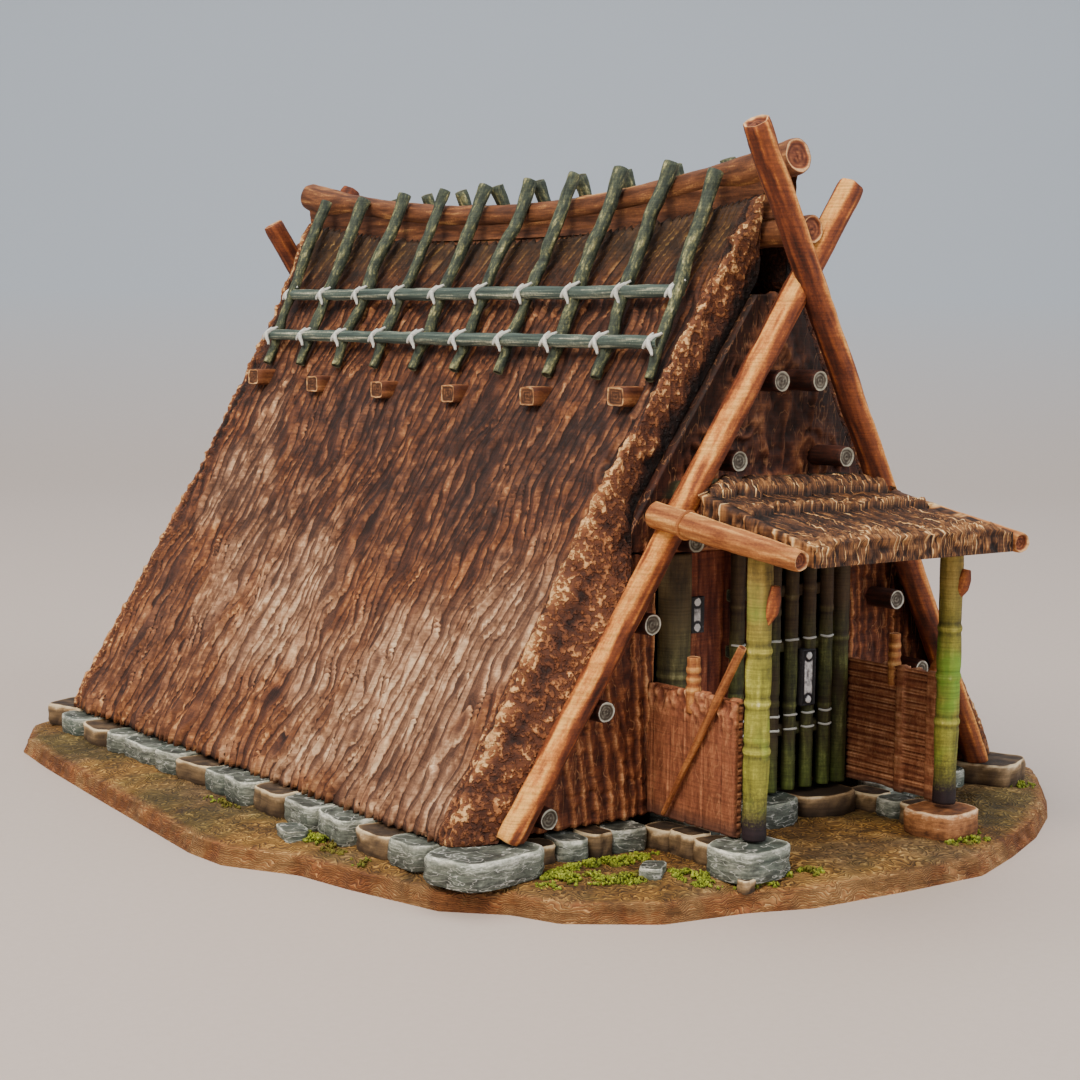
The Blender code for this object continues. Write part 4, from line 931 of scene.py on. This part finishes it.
def plate(x0, x1, z0, z1, front, back, rivets, dome_height):
    """A forged pull plate with a dark rim, a worn middle and a domed rivet at each end."""
    x, z = plane((x0, x1, 26), (z0, z1, 60))
    edge = np.minimum(np.minimum(x - x0, x1 - x), np.minimum(z - z0, z1 - z))
    rim = smoothstep(0.5, 0.25, edge) * smoothstep(0, 0.1, edge)
    dome, ring = np.zeros_like(x), np.zeros_like(x)
    for share in rivets:
        r = np.hypot(x - 0.5 * (x0 + x1), z - (z0 + (z1 - z0) * share))
        dome = np.maximum(dome, np.sqrt(unit(1 - (r / RIVET_RADIUS) ** 2)))
        ring = np.maximum(ring, smoothstep(1.15, 0.85, r))
    wave = fractal(x * 1.4, z * 0.9, 0, 161, 3)
    y = np.where(edge <= 0.001, back, front - 0.12 * rim - dome_height * dome - 0.04 * wave)
    middle = smoothstep(0.62, 0.8, edge) * (1 - ring)
    shade = unit(0.14 + 0.16 * rim + 0.85 * (dome > 0.1) + middle * (0.72 + 0.4 * wave))
    top = xyz(x, y, z)
    return part(top, grid_faces(26, 60)[:, ::-1], shade, 0, top)


model("bamboo_leaf_pull", [plate(7.9, 11, 20.6, 29.6, -64.85, -63.6, (0.12, 0.88), 0.35)],
      "plate", body="bamboo_leaf")


def planks_relief(seed, board_width, across):
    """The relief of worn upright boards. across is their level axis, 0 or 1."""
    def relief(u, v, depth, x, y, z):
        a = (x, y)[across]
        f = abs(((a + 0.3 * noise(z / 7, seed, 0, seed)) / board_width + 0.31 * seed) % 1 - 0.5) * 2
        gap = smoothstep(0.86, 0.98, f)
        fibre = fractal(a * 2.2, z * 0.16, seed, seed + 1, 3)
        dents = unit(fractal(a / 1.2, z / 2.2, seed, seed + 2, 2) - 0.25)
        bright = smoothstep(0.7, 0.84, f) * (1 - gap)
        height = 0.14 * fibre - 0.32 * gap - 0.25 * dents
        shade = unit(0.42 + 0.34 * fibre - 0.4 * gap + 0.3 * bright - 0.25 * dents)
        return height, shade, 0.6 * smoothstep(12.5, 8, z)
    return relief


board = []
x, z = plane((-14.2, 1.8, 50), (7.7, 45.6, 80))
for face, seed in ((-61.3, 171), (-59.9, 172)):
    board += skin(xyz(x, face, z), xyz(x, -60.6, z), 2, planks_relief(seed, 2.6, 0))
model("board_leaf_planks", board, "board", "board_door", body="board_leaf")
model("board_leaf_pull", [plate(-12, -9.3, 33.2, 38.8, -61.52, -61.2, (0.16, 0.84), 0.1)],
      "plate", body="board_leaf")

# ---- porch
def slats_relief(u, v, depth, x, y, z):
    """Level slats between upright frame posts, on the inside of a screen."""
    f = abs((z / 1.1 + 0.16 * noise(y / 5, z / 2, 0, 213)) % 1 - 0.5) * 2
    slats = smoothstep(1, 0.5, f)
    post = np.maximum(smoothstep(1.05, 0.8, abs(y + 80.8)), smoothstep(1, 0.75, abs(y + 74.4)))
    fibre = fractal(y * 0.35, z * 2.2, 0, 214, 3)
    height = blend(0.34 * slats - 0.28, 0.35 + 0.1 * fibre, post)
    shade = blend(0.04 + 0.5 * slats + 0.5 * bump(f, 0.5, 0.2), 0.66 + 0.3 * fibre, post)
    return height, unit(shade + 0.15 * fibre), 0.55 * smoothstep(11, 8, z)


def outside_relief(u, v, depth, x, y, z):
    """Smooth worn boards with a ragged top, on the outside of a screen."""
    height, shade, tint = planks_relief(211, 3.7, 1)(u, v, depth, x, y, z)
    top = smoothstep(21.5, 25.5, z)
    ragged = fractal(y / 0.7, z, 0, 212, 2)
    shade = 0.5 + 0.55 * (shade - 0.42) + top * (0.1 + 0.6 * ragged)
    return 0.6 * height + 0.55 * top * ragged, unit(shade), tint


RAIL_BACK, RAIL_FRONT = np.array([24.75, -67.8, 52.2]), np.array([22.15, -95, 48.1])
for side, word in SIDES:
    x = side * POST_X
    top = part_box(f"porch_post_{word}")[1].z / MM
    # each post has a painted highlight down one side
    post = log([(x, POST_Y, 7.9), (x + 0.15, POST_Y, 26), (x, POST_Y, top)],
               (1.72, 1.66, 1.85, 1.7, 1.86, 1.72, 1.78, 1.7), 28, 0.35, 0.11, 1, 180 + side,
               nodes=(12.5, 19.3, 26.6), node_size=0.15, light=(330, 40, 0.35), dish=0.05)
    twig_z, twig_top = (38.2, 43.6) if side < 0 else (39.2, 43.4)
    # each twig has a painted highlight on one side and painted shade on the rest
    twig = log([(x + 0.3, -85.3, twig_z), (x + 0.8, -85.7, twig_z + 2), (x + 1.2, -85.9, twig_top)],
               (0.5, 1.1, 1.15, 0.8), 14, 0.25, 0.12, 1, 190 + side, dish=0.05,
               light=(300, 50, 0.7), dark=0.55)
    model(f"porch_post_bamboo_{word}", [post], "bamboo", f"porch_post_{word}")
    model(f"porch_post_stub_{word}", [twig], "log")

    drop = 0.8 if side > 0 else 0
    ends = [RAIL_BACK * (side, 1, 1) - (0, 0, drop), RAIL_FRONT * (side, 1, 1)]
    # a painted highlight along the upper outer side of each rail
    rail = log(ends, (1.93, 1.9, 1.75, 1.5), 28, 0.4, 0.12, 1.3, 195 + side, dish=0.5, facets=8,
               light=(120, 50, 0.45))
    model(f"porch_rail_wood_{word}", [rail], "straw_wood", f"porch_rail_{word}")
    if side < 0:
        centre = ends[0] + (ends[1] - ends[0]) * 0.24
        ring = [centre + (1.98 * math.cos(a), -0.28 * math.sin(a), 1.98 * math.sin(a))
                for a in np.linspace(0, 2 * math.pi, 25)]
        model("porch_rail_binding", [log(ring, (0.26, 0.26), 8, 0.35, 0.03, 1, 199)],
              "straw_wood")

    peg = log([(side * SCREEN_X, -72.2, 24), (side * SCREEN_X, -72.2, 32)], (1, 1, 0.9), 18, 0.3,
              0.12, 1.2, 205 + side, nodes=(3.4, 4.8, 6.2), node_size=0.08)
    model(f"screen_peg_{word}", [peg], "straw_wood")
    brace = log([(side * 21.8, -83.6, 35), (side * 22.3, -68, 8.6)], (0.6, 0.66, 0.5, 0.32), 14,
                0.45, 0.08, 1.2, 208 + side, dish=0.05, dark=0.3)
    model(f"porch_brace_cane_{word}", [brace], "straw_wood", f"porch_brace_{word}")

    y, z = plane((-81.9, -63.2, 70), (7.9, 27, 76))
    screen = []
    for face, relief in ((21.3, outside_relief), (19.9, slats_relief)):
        screen += skin(xyz(side * face, y, z), xyz(side * SCREEN_X, y, z), 2, relief)
    model(f"porch_screen_boards_{word}", screen, "screen", f"porch_screen_{word}")


# start and length of each course of straw, in mm down the porch roof
COURSES = np.array([(0, 5.5), (5.5, 8), (13.5, 14.5)])


def porch_relief(u, v, depth, x, y, z):
    """A rolled course at the gable and two long ones below it; v runs from the gable to the eave. A
    painted shadow line lies at the head of each course, under the tips of the course above or against the
    gable, and the wrapped edges darken towards the underside as painted shade.
    """
    run = v * PORCH_SLOPE_LENGTH + 0.9 * noise(x / 1.6, 0, 0, 221)
    course = np.searchsorted(COURSES[1:, 0], run)
    start, length = COURSES.T[:, course]
    f = unit((run - start) / length)
    straw, crest, count = tongues(x + 1.2 * noise(x / 4, y / 6, 0, 222), run, 1.15, 223, 0.5)
    tufts = 1.2 * fractal(x / 0.62, y / 0.8, z / 0.8, 224, 2)
    tip = smoothstep(0.5, 0.95, f)
    roll = np.sin(math.pi * f) * (course == 0)
    height = -1 + 1.1 * f + 0.5 * straw + 0.6 * tufts * tip + 0.15 * tufts + 1.4 * roll
    height = height - 1.8 * smoothstep(0.82, 1, abs(2 * u - 1)) * (depth < 0.05)
    # the head of each course (f < 0.12) is darkened as a painted shadow
    shade = (0.14 + 0.2 * straw + 0.36 * crest + 0.7 * tip * (0.6 + 0.9 * tufts) + 0.2 * tufts
             - 0.25 * (f < 0.12))
    edge = smoothstep(0, 0.2, depth)
    height = blend(height, 0.4 * tufts, edge)
    shade = blend(shade, 0.85 - 0.5 * depth + 0.7 * tufts, edge)
    return height, unit(shade), 0.5, xyz(1.6 * count, x, run), 0 * shade


materials["porch"] = thatch_material("porch_paint", (
    (10, 18, 9, 6), (28, 58, 34, 21), (46, 108, 69, 41), (64, 168, 116, 68), (80, 232, 184, 120),
    (94, 255, 226, 172)))
run = PORCH_BACK_Y - 27.6 * np.linspace(0, 1, 125)
reach, tops, lows, drops = (
    np.interp(-run, (-PORCH_BACK_Y, -PORCH_BEND_Y, -PORCH_FRONT_Y), values)
    for values in ((14.2, 19.9, 19.9), (56.9, 55.74, 50.2), (50.7, 50.06, 47), (0.8, 0.8, 0)))
across = np.linspace(-1, 1, 180)[:, None]
roof_x, fall = across * reach, drops * (across + 1) / 2
roof_top, roof_low = xyz(roof_x, run, tops - fall), xyz(roof_x, run, lows - fall)
model("porch_roof_straw", skin(roof_top, roof_low, 8, porch_relief), "porch",
      "porch_roof")

# ---- stones
def stone_run(start, end, half_width, count, seed, top=STONE_TOP_Z, brown=0.25):
    """A row of worn stones between two points. brown is the share of brown ones."""
    start, end = np.array(start, float), np.array(end, float)
    cuts = np.linspace(0, 1, count + 1)
    cuts[1:-1] += 0.24 / count * np.array([noise(k * 3.3, seed) for k in range(1, count)])
    out, turn = [], math.atan2(*(end - start)[::-1])
    length = np.linalg.norm(end - start)
    for k in range(count):
        mid = start + (end - start) * 0.5 * (cuts[k] + cuts[k + 1])
        half = 0.5 * (cuts[k + 1] - cuts[k]) * length
        wide = half_width * (0.92 + 0.12 * noise(k * 1.9, seed + 1))
        tint = 0.9 if noise(k * 2.7 + 0.4, seed + 3.3, 0, 7) > 1 - 2 * brown else 0.15
        out.append(stone(*mid, half * 0.95, wide, STONE_LOW_Z, top - 0.8 * abs(noise(k * 2.1, seed + 2)),
                         seed + k, turn + 0.14 * noise(k * 4.1, seed), 30, tint))
    return out


side_stones = stone_run((-56.3, 60.5), (-56.3, -59.5), 3.65, 13, 600, brown=0.4)
side_stones += [stone(-52.4, -66, 7.6, 5.6, STONE_LOW_Z, STONE_TOP_Z, 620, 0.22, 56, 0.1),
                stone(-52.2, 65.4, 5.5, 5, STONE_LOW_Z, STONE_TOP_Z, 621, 0.4, 44, 0.1)]
far_stones = [turned(p) for p in side_stones]
far_stones[-1][2][:, 1] = 0.95
model("stone_row_left", side_stones, "stone", "stones_left")
model("stone_row_right", far_stones, "stone", "stones_right")
model("stone_row_back", stone_run((-45, 63), (45, 63), 3.1, 11, 640), "stone", "stones_back")
for side, word in SIDES:
    row = stone_run((side * 45.5, -63.4), (side * 23.6, -64.4), 3.1, 4, 660 + side, top=7.1)
    model(f"stone_row_front_{word}", row, "stone", f"stones_front_{word}")
    post_x, post_y, reach = (-21.2, -84.9, 5.6) if side < 0 else (18.9, -84.4, 4.8)
    top = 7.7 if side < 0 else 7.3
    group = [stone(post_x, post_y, reach, 4.5, STONE_LOW_Z, top, 680 + side, 0.15, 50)]
    group += stone_run((side * 20.9, -81.2), (side * 20.9, -64.5), 2.6, 3, 690 + side, top=7.1, brown=0.5)
    if side < 0:
        model("porch_stone_group_left", group, "stone", "porch_stones_left")
    else:
        model("porch_stone_group_right", group[:1], "rust", "porch_stones_right")
        model("porch_sill_stones_right", group[1:], "stone")
SLABS = ((-12, -63.6, 6, 7.3, 701, 0, 0.1), (0.2, -63.8, 6.2, 7.3, 702, 0, 0.25),
         (12.4, -63.6, 5.9, 7, 703, 1, 0.25))
model("threshold_slabs", [stone(x, y, reach, reach - 1, STONE_LOW_Z, top, seed, 0, 34, tint, dark)
                          for x, y, reach, top, seed, tint, dark in SLABS],
      "stone", "threshold_stone")

# ---- base, loose stones and moss
OUTLINE = np.array((
    (-60, -66), (-53, -73), (-50, -80), (-39, -88), (-26, -90.5), (-17, -94), (0, -95.5),
    (15, -96), (27, -91.5), (39, -86), (51, -78.5), (60, -71), (70, -61), (74, -48),
    (74, -25), (72, 0), (71, 28), (69, 50), (64, 68), (50, 79), (25, 84), (0, 85),
    (-25, 84), (-48, 80), (-60, 72), (-66, 61), (-68, 46), (-70, 24), (-72, 0),
    (-73.7, -20), (-73, -29), (-66.5, -40), (-64.5, -50), (-60, -66)), float)


def rim_height(inset):
    return np.interp(inset, (0, 0.9, 5, 10), (0, 2.4, 3.2, 3.6))


def ground_waves(x, y):
    return fractal(x / 3.1, y / 3.1, 0, 801, 3), fractal(x / 9, y / 9, 0, 802, 2)


knots = np.r_[0, np.cumsum(np.linalg.norm(np.diff(OUTLINE, axis=0), axis=1))]
around = np.linspace(0, knots[-1], 461)[:-1]
rim_x, rim_y = (np.interp(around, knots, OUTLINE[:, k]) for k in (0, 1))
rim_reach = np.sqrt(rim_x ** 2 + (rim_y + 5) ** 2)
insets = np.r_[0, 0.3, 0.6, 0.9, 1.4, 2, 2.8, 3.6, 4.6, np.linspace(5.6, 40, 40)][:, None]
heights = rim_height(insets)
inward_x, inward_y = -rim_x / rim_reach, -(rim_y + 5) / rim_reach
x, y = rim_x + inward_x * insets, rim_y + inward_y * insets
wobble, ripple = ground_waves(x, y)
rim = smoothstep(0, 3, insets)
lift = heights + (0.3 * wobble + 0.4 * ripple) * (0.25 + 0.75 * rim) * (insets > 0)
chips = 0.8 * abs(fractal(rim_x / 1.9, rim_y / 1.9, heights / 1.1, 803, 3))
chips = chips * (insets < 2.5) * (insets > 0)
points = xyz(x + inward_x * chips, y + inward_y * chips, np.clip(lift, 0, GROUND_TOP_Z))
shade = unit(0.5 + 0.4 * wobble + 0.2 * ripple - 0.1 * (1 - rim))
earth = part(points, grid_faces(len(insets), len(rim_x), close_v=True)[:, ::-1], shade,
             1 - rim + 0 * shade, points)
x, y = plane((-36, 36, 30), (-60, 50, 40))
middle = xyz(x, y, 3.3 + 0.2 * fractal(x / 3, y / 3, 0, 804, 2))
share = np.linspace(0, 1, 6)[:, None]
under = xyz(share * rim_x, share * rim_y, 0)


def earth_material():
    """A carved base whose level steps follow its slopes, with a paler worn skirt."""
    n = Nodes("earth_paint")
    relief = n.attribute("relief")
    small = n.noise(n.object, 1500, 4, 0.7)
    x, y, z = n.split(n.object)
    level = n.total((z, 1), (x, 0.05), (y, 0.07), (n.noise(n.object, 190, 2, 0.5), 0.0048),
                    (n.noise(n.object, 520, 2, 0.5), 0.0009))
    step = n.math("FRACT", n.math("MULTIPLY", level, 1 / 0.0003))
    contour = n.ramp(step, ((0, 0), (20, 0.25), (55, 0.5), (78, 1), (90, 0.8), (100, 0)))
    value = n.total((relief, 0.38), (small, 0.26), (contour, 0.34))
    color = n.ramp(value, ((16, 40, 25, 10), (34, 86, 57, 24), (50, 134, 94, 40),
                           (66, 194, 146, 70), (86, 248, 210, 132)))
    dusty = n.ramp(value, ((16, 50, 39, 27), (42, 106, 85, 58), (65, 150, 124, 88),
                           (90, 216, 192, 152)))
    color = n.over(color, dusty, n.noise(n.object, 40, 4, 0.6), 0.48, 0.62, 0.65)
    mossy = n.ramp(value, ((20, 34, 29, 13), (50, 86, 73, 33), (85, 170, 148, 82)))
    color = n.over(color, mossy, n.noise(n.object, 34, 4, 0.65), 0.48, 0.6, 0.8)
    skirt = n.ramp(value, ((15, 84, 44, 22), (45, 156, 92, 50), (70, 206, 142, 84),
                           (90, 244, 204, 150)))
    worn = n.ramp(value, ((15, 104, 66, 36), (45, 186, 134, 80), (70, 232, 190, 132),
                          (90, 250, 226, 184)))
    skirt = n.over(skirt, worn, n.noise(n.object, 110, 4, 0.7), 0.45, 0.56, 0.85)
    color = n.mix(n.math("MULTIPLY", n.attribute("tint"), 0.85), color, skirt)
    return n.finish(color, n.remap(small, 0.3, 0.7, 0.7, 0.9),
                    [(contour, 0.0004, 0.9), (small, 0.0001, 0.5)], (0.3, 0.00008, 0.4), (80, 52, 38))


materials["earth"] = earth_material()
middle = part(middle, grid_faces(30, 40), 0.4, 0, middle)
under = part(under, grid_faces(6, len(rim_x), close_v=True), 0.4, 0, under)
model("earth_ground", [earth, middle, under], "earth", "earth_base")
model("loose_stones", [stone(*place) for place in (
    (-32.5, -78, 2.4, 1.6, 3, 4.9, 727, 0.7), (-62.7, -31.5, 2.9, 1.9, 2.6, 4.8, 722, 1.3),
    (-25, -88.9, 1.3, 0.9, 2.4, 4.3, 723, 0.2, 34, 1), (62, -40, 2.2, 1.6, 3, 5.2, 725, 0.4),
    (40, 74, 2.4, 1.8, 3, 5.2, 726, 0.9))], "stone")


def ground_at(x, y):
    """Height of the ground under each point, and the distance of the point inside the rim."""
    gap = np.hypot(x[:, None] - rim_x, y[:, None] - rim_y)
    inside = np.hypot(x, y + 5) < rim_reach[gap.argmin(1)]
    inset = np.where(inside, gap.min(1), -1)
    wobble, ripple = ground_waves(x, y)
    return rim_height(inset) + 0.3 * wobble + 0.4 * ripple, inset


rng = np.random.default_rng(811)
MOSS = ((-60.8, -37, 2, 7.5, 900), (-61.5, -48.5, 1.4, 2.6, 200), (-35, -69.8, 10.5, 2.4, 1500),
        (-43, -73, 5.5, 3.4, 900), (-37, -77.5, 5, 2.6, 500), (-25.5, -90, 7.5, 2.2, 900),
        (-14.5, -89, 4.4, 1.8, 500), (-28.6, -82.5, 2.6, 5, 700), (24.6, -83.6, 1.9, 3.6, 700),
        (19, -89.4, 5, 1.1, 500),
        (-46, 76, 6, 2, 220), (62, 20, 2.2, 7, 260), (54, -70, 5, 2, 220), (-61.8, -8, 1.2, 6, 160))
cube = np.array([(i, j, k) for i in (-1, 1) for j in (-1, 1) for k in (-1, 1)], float) * 0.5
quads = np.array([(0, 1, 3, 2), (4, 6, 7, 5), (0, 4, 5, 1), (2, 3, 7, 6), (0, 2, 6, 4), (1, 5, 7, 3)])
crumbs = []
for cx, cy, rx, ry, count in MOSS:
    radius = rng.random(count) ** 0.7
    angle = rng.random(count) * 2 * math.pi
    px, py = cx + rx * radius * np.cos(angle), cy + ry * radius * np.sin(angle)
    floor_z, inset = ground_at(px, py)
    keep = (fractal(px / 1.3, py / 1.3, 0, 812, 2) > -0.2 + 0.34 * radius) & (inset > 2.2)
    px, py, radius, floor_z = px[keep], py[keep], radius[keep], floor_z[keep]
    size = 0.2 + 0.24 * rng.random(len(px))
    pz = np.clip(floor_z, 0, GROUND_TOP_Z) + (0.8 * (1 - radius) + 0.25) * rng.random(len(px))
    tilt = (rng.random((len(px), 2)) - 0.5) * (2 * math.pi, 1.6)
    for k in range(len(px)):
        ca, sa, cb, sb = (f(t) for t in tilt[k] for f in (math.cos, math.sin))
        turn = (np.array([[ca, -sa, 0], [sa, ca, 0], [0, 0, 1]])
                @ np.array([[1, 0, 0], [0, cb, -sb], [0, sb, cb]]))
        shape = cube * (size[k] * 1.5, size[k] * 0.6, size[k] * 1.1)
        shape[cube[:, 2] > 0] *= (0.4, 0.4, 1)
        spots = shape @ turn.T + (px[k], py[k], pz[k])
        # the top corners of each crumb are painted lighter and the lower ones darker, as painted light
        # and shade; bigger crumbs are also paler
        bright = 0.05 + 0.4 * (cube[:, 2] > 0) + 0.45 * (size[k] - 0.2) / 0.24
        crumbs.append(part(spots, quads, bright, 0, spots))
model("moss_tufts", crumbs, "moss")

# ---- camera, light and floor
sheet = bpy.data.meshes.new("floor_sheet")
away = np.r_[-2, 0.6, 0.6 + 0.9 * np.sin(np.linspace(0, math.pi / 2, 25)[1:]), 1.5]
rise = np.r_[0, 0, 0.9 - 0.9 * np.cos(np.linspace(0, math.pi / 2, 25)[1:]), 2.2]
across = np.array((-2.5, 2.5))[:, None]
corners = xyz(0.6 * away + 0.8 * across, 0.8 * away - 0.6 * across, rise).reshape(-1, 3)
sheet.from_pydata(corners.tolist(), [], grid_faces(2, len(rise)).tolist())
sheet.polygons.foreach_set("use_smooth", [True] * len(sheet.polygons))
floor = in_scene("floor_sheet", sheet)
n = Nodes("floor_paper")
grey = n.mix(n.noise(n.object, 900, 3, 0.6), (194, 179, 168), (202, 188, 178))
height = n.split(n.object)[2]
grey = n.over(grey, (185, 192, 200), height, 0, 0.1)
grey = n.over(grey, (188, 197, 207), height, 0.1, 0.3)
n.finish(grey, n.remap(n.noise(n.object, 600), 0.3, 0.7, 0.5, 0.6),
         [(n.noise(n.object, 1500, 3), 0.0001, 0.05)])
sheet.materials.append(n.material)

camera = in_scene("camera", bpy.data.cameras.new("camera"))
camera.data.lens = 67.15
camera.data.sensor_width = 36
camera.data.sensor_fit = "HORIZONTAL"
camera.data.clip_start, camera.data.clip_end = 0.01, 20
look = Vector((0.597, 0.795, -0.1056)).normalized()
right = look.cross(Vector((0, 0, 1))).normalized()
up = right.cross(look)
roll = math.radians(0.66)
right, up = right * math.cos(roll) + up * math.sin(roll), up * math.cos(roll) - right * math.sin(roll)
camera.matrix_world = Matrix((
    (right.x, up.x, -look.x, -0.2084), (right.y, up.y, -look.y, -0.2855),
    (right.z, up.z, -look.z, 0.0786), (0, 0, 0, 1)))
bpy.context.scene.camera = camera


def area_light(name, place, target, size, power, rgb=(255, 255, 255)):
    data = bpy.data.lights.new(name, "AREA")
    data.shape, data.size, data.energy, data.color = "SQUARE", size, power, linear(rgb)[:3]
    obj = in_scene(name, data)
    obj.location = place
    obj.rotation_euler = (Vector(target) - Vector(place)).to_track_quat("-Z", "Y").to_euler()


area_light("key_light", (-0.75, -0.35, 0.85), (0, 0, 0.04), 0.5, 13, (255, 243, 228))
area_light("fill_light", (0.5, -0.95, 0.55), (0, 0, 0.04), 0.8, 5.5, (246, 248, 255))
area_light("top_light", (0.1, 0.3, 1.2), (0, 0, 0.05), 0.9, 6)
world = bpy.data.worlds.new("studio")
bpy.context.scene.world = world
world.use_nodes = True
tree = world.node_tree
sky = tree.nodes["Background"]
split = tree.nodes.new("ShaderNodeSeparateXYZ")
ramp = tree.nodes.new("ShaderNodeValToRGB")
tree.links.new(tree.nodes.new("ShaderNodeTexCoord").outputs["Generated"], split.inputs[0])
tree.links.new(split.outputs[2], ramp.inputs[0])
tree.links.new(ramp.outputs[0], sky.inputs[0])
for element, place, rgb in zip(ramp.color_ramp.elements, (0, 0.18),
                               ((183, 185, 187), (212, 214, 217))):
    element.position, element.color = place, linear(rgb)
sky.inputs[1].default_value = 1
